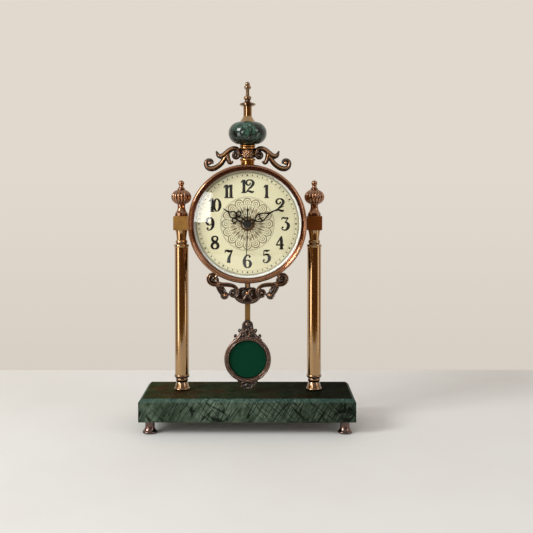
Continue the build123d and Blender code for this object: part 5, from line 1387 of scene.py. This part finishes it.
class CLOCK_OT_stage(bpy.types.Operator):
    """Set up the floor, the backdrop, the lamps and the camera"""

    bl_idname = "clock.stage"
    bl_label = "Stage"

    def execute(self, context):
        bpy.ops.object.select_all(action="DESELECT")
        bpy.ops.mesh.primitive_plane_add(
            size=1.0, location=(0.0, (TABLE_FRONT + WALL_PLANE) / 2, 0.0),
            scale=(2 * TABLE_SIDE, WALL_PLANE - TABLE_FRONT, 1.0))
        floor = settle(context.object, "floor")
        floor.data.materials.append(pale_floor())
        bpy.ops.mesh.primitive_plane_add(
            size=WALL_SIZE, location=(0.0, WALL_PLANE, WALL_SIZE / 2), rotation=(math.pi / 2, 0.0, 0.0))
        wall = settle(context.object, "wall")
        wall.data.materials.append(pale_wall())
        room()
        for row in LAMPS:
            lamp(*row)
        tilt = (math.radians(CAMERA_TILT), 0.0, 0.0)
        bpy.ops.object.camera_add(location=CAMERA_PLACE, rotation=tilt)
        camera = context.object
        camera.name = "camera"
        camera.data.sensor_width = CAMERA_SENSOR
        camera.data.lens = CAMERA_LENS
        camera.data.shift_x, camera.data.shift_y = CAMERA_SHIFT
        context.scene.camera = camera
        context.scene.view_settings.view_transform = "Standard"
        return {"FINISHED"}


class CLOCK_PT_panel(bpy.types.Panel):
    """Lists the steps that dress the clock"""

    bl_idname = "CLOCK_PT_panel"
    bl_label = "Desk Clock"
    bl_space_type = "VIEW_3D"
    bl_region_type = "UI"
    bl_category = "Desk Clock"

    def draw(self, context):
        for step in STEPS:
            self.layout.operator(step.bl_idname)
        for settings in (context.scene.clock_sizes, context.scene.clock_colours):
            box = self.layout.box()
            for name in settings.bl_rna.properties.keys():
                if name not in ("rna_type", "name"):
                    box.prop(settings, name)


STEPS = (
    CLOCK_OT_slab, CLOCK_OT_turnings, CLOCK_OT_head, CLOCK_OT_dial_print, CLOCK_OT_crest, CLOCK_OT_apron,
    CLOCK_OT_pendulum, CLOCK_OT_movement, CLOCK_OT_stage,
)
CLASSES = (ClockSizes, ClockColours, *STEPS, CLOCK_PT_panel)


def register():
    """Register the classes and their settings."""
    for entry in CLASSES:
        bpy.utils.register_class(entry)
    bpy.types.Scene.clock_sizes = PointerProperty(type=ClockSizes)
    bpy.types.Scene.clock_colours = PointerProperty(type=ClockColours)


def unregister():
    """Take the settings and the classes away again."""
    del bpy.types.Scene.clock_colours
    del bpy.types.Scene.clock_sizes
    for entry in reversed(CLASSES):
        bpy.utils.unregister_class(entry)


def main():
    """Dress the clock."""
    register()
    bpy.ops.clock.slab()
    bpy.ops.clock.turnings()
    bpy.ops.clock.head()
    bpy.ops.clock.dial_print()
    bpy.ops.clock.crest()
    bpy.ops.clock.apron()
    bpy.ops.clock.pendulum()
    bpy.ops.clock.movement()
    bpy.ops.clock.stage()


if __name__ == "__main__":
    main()
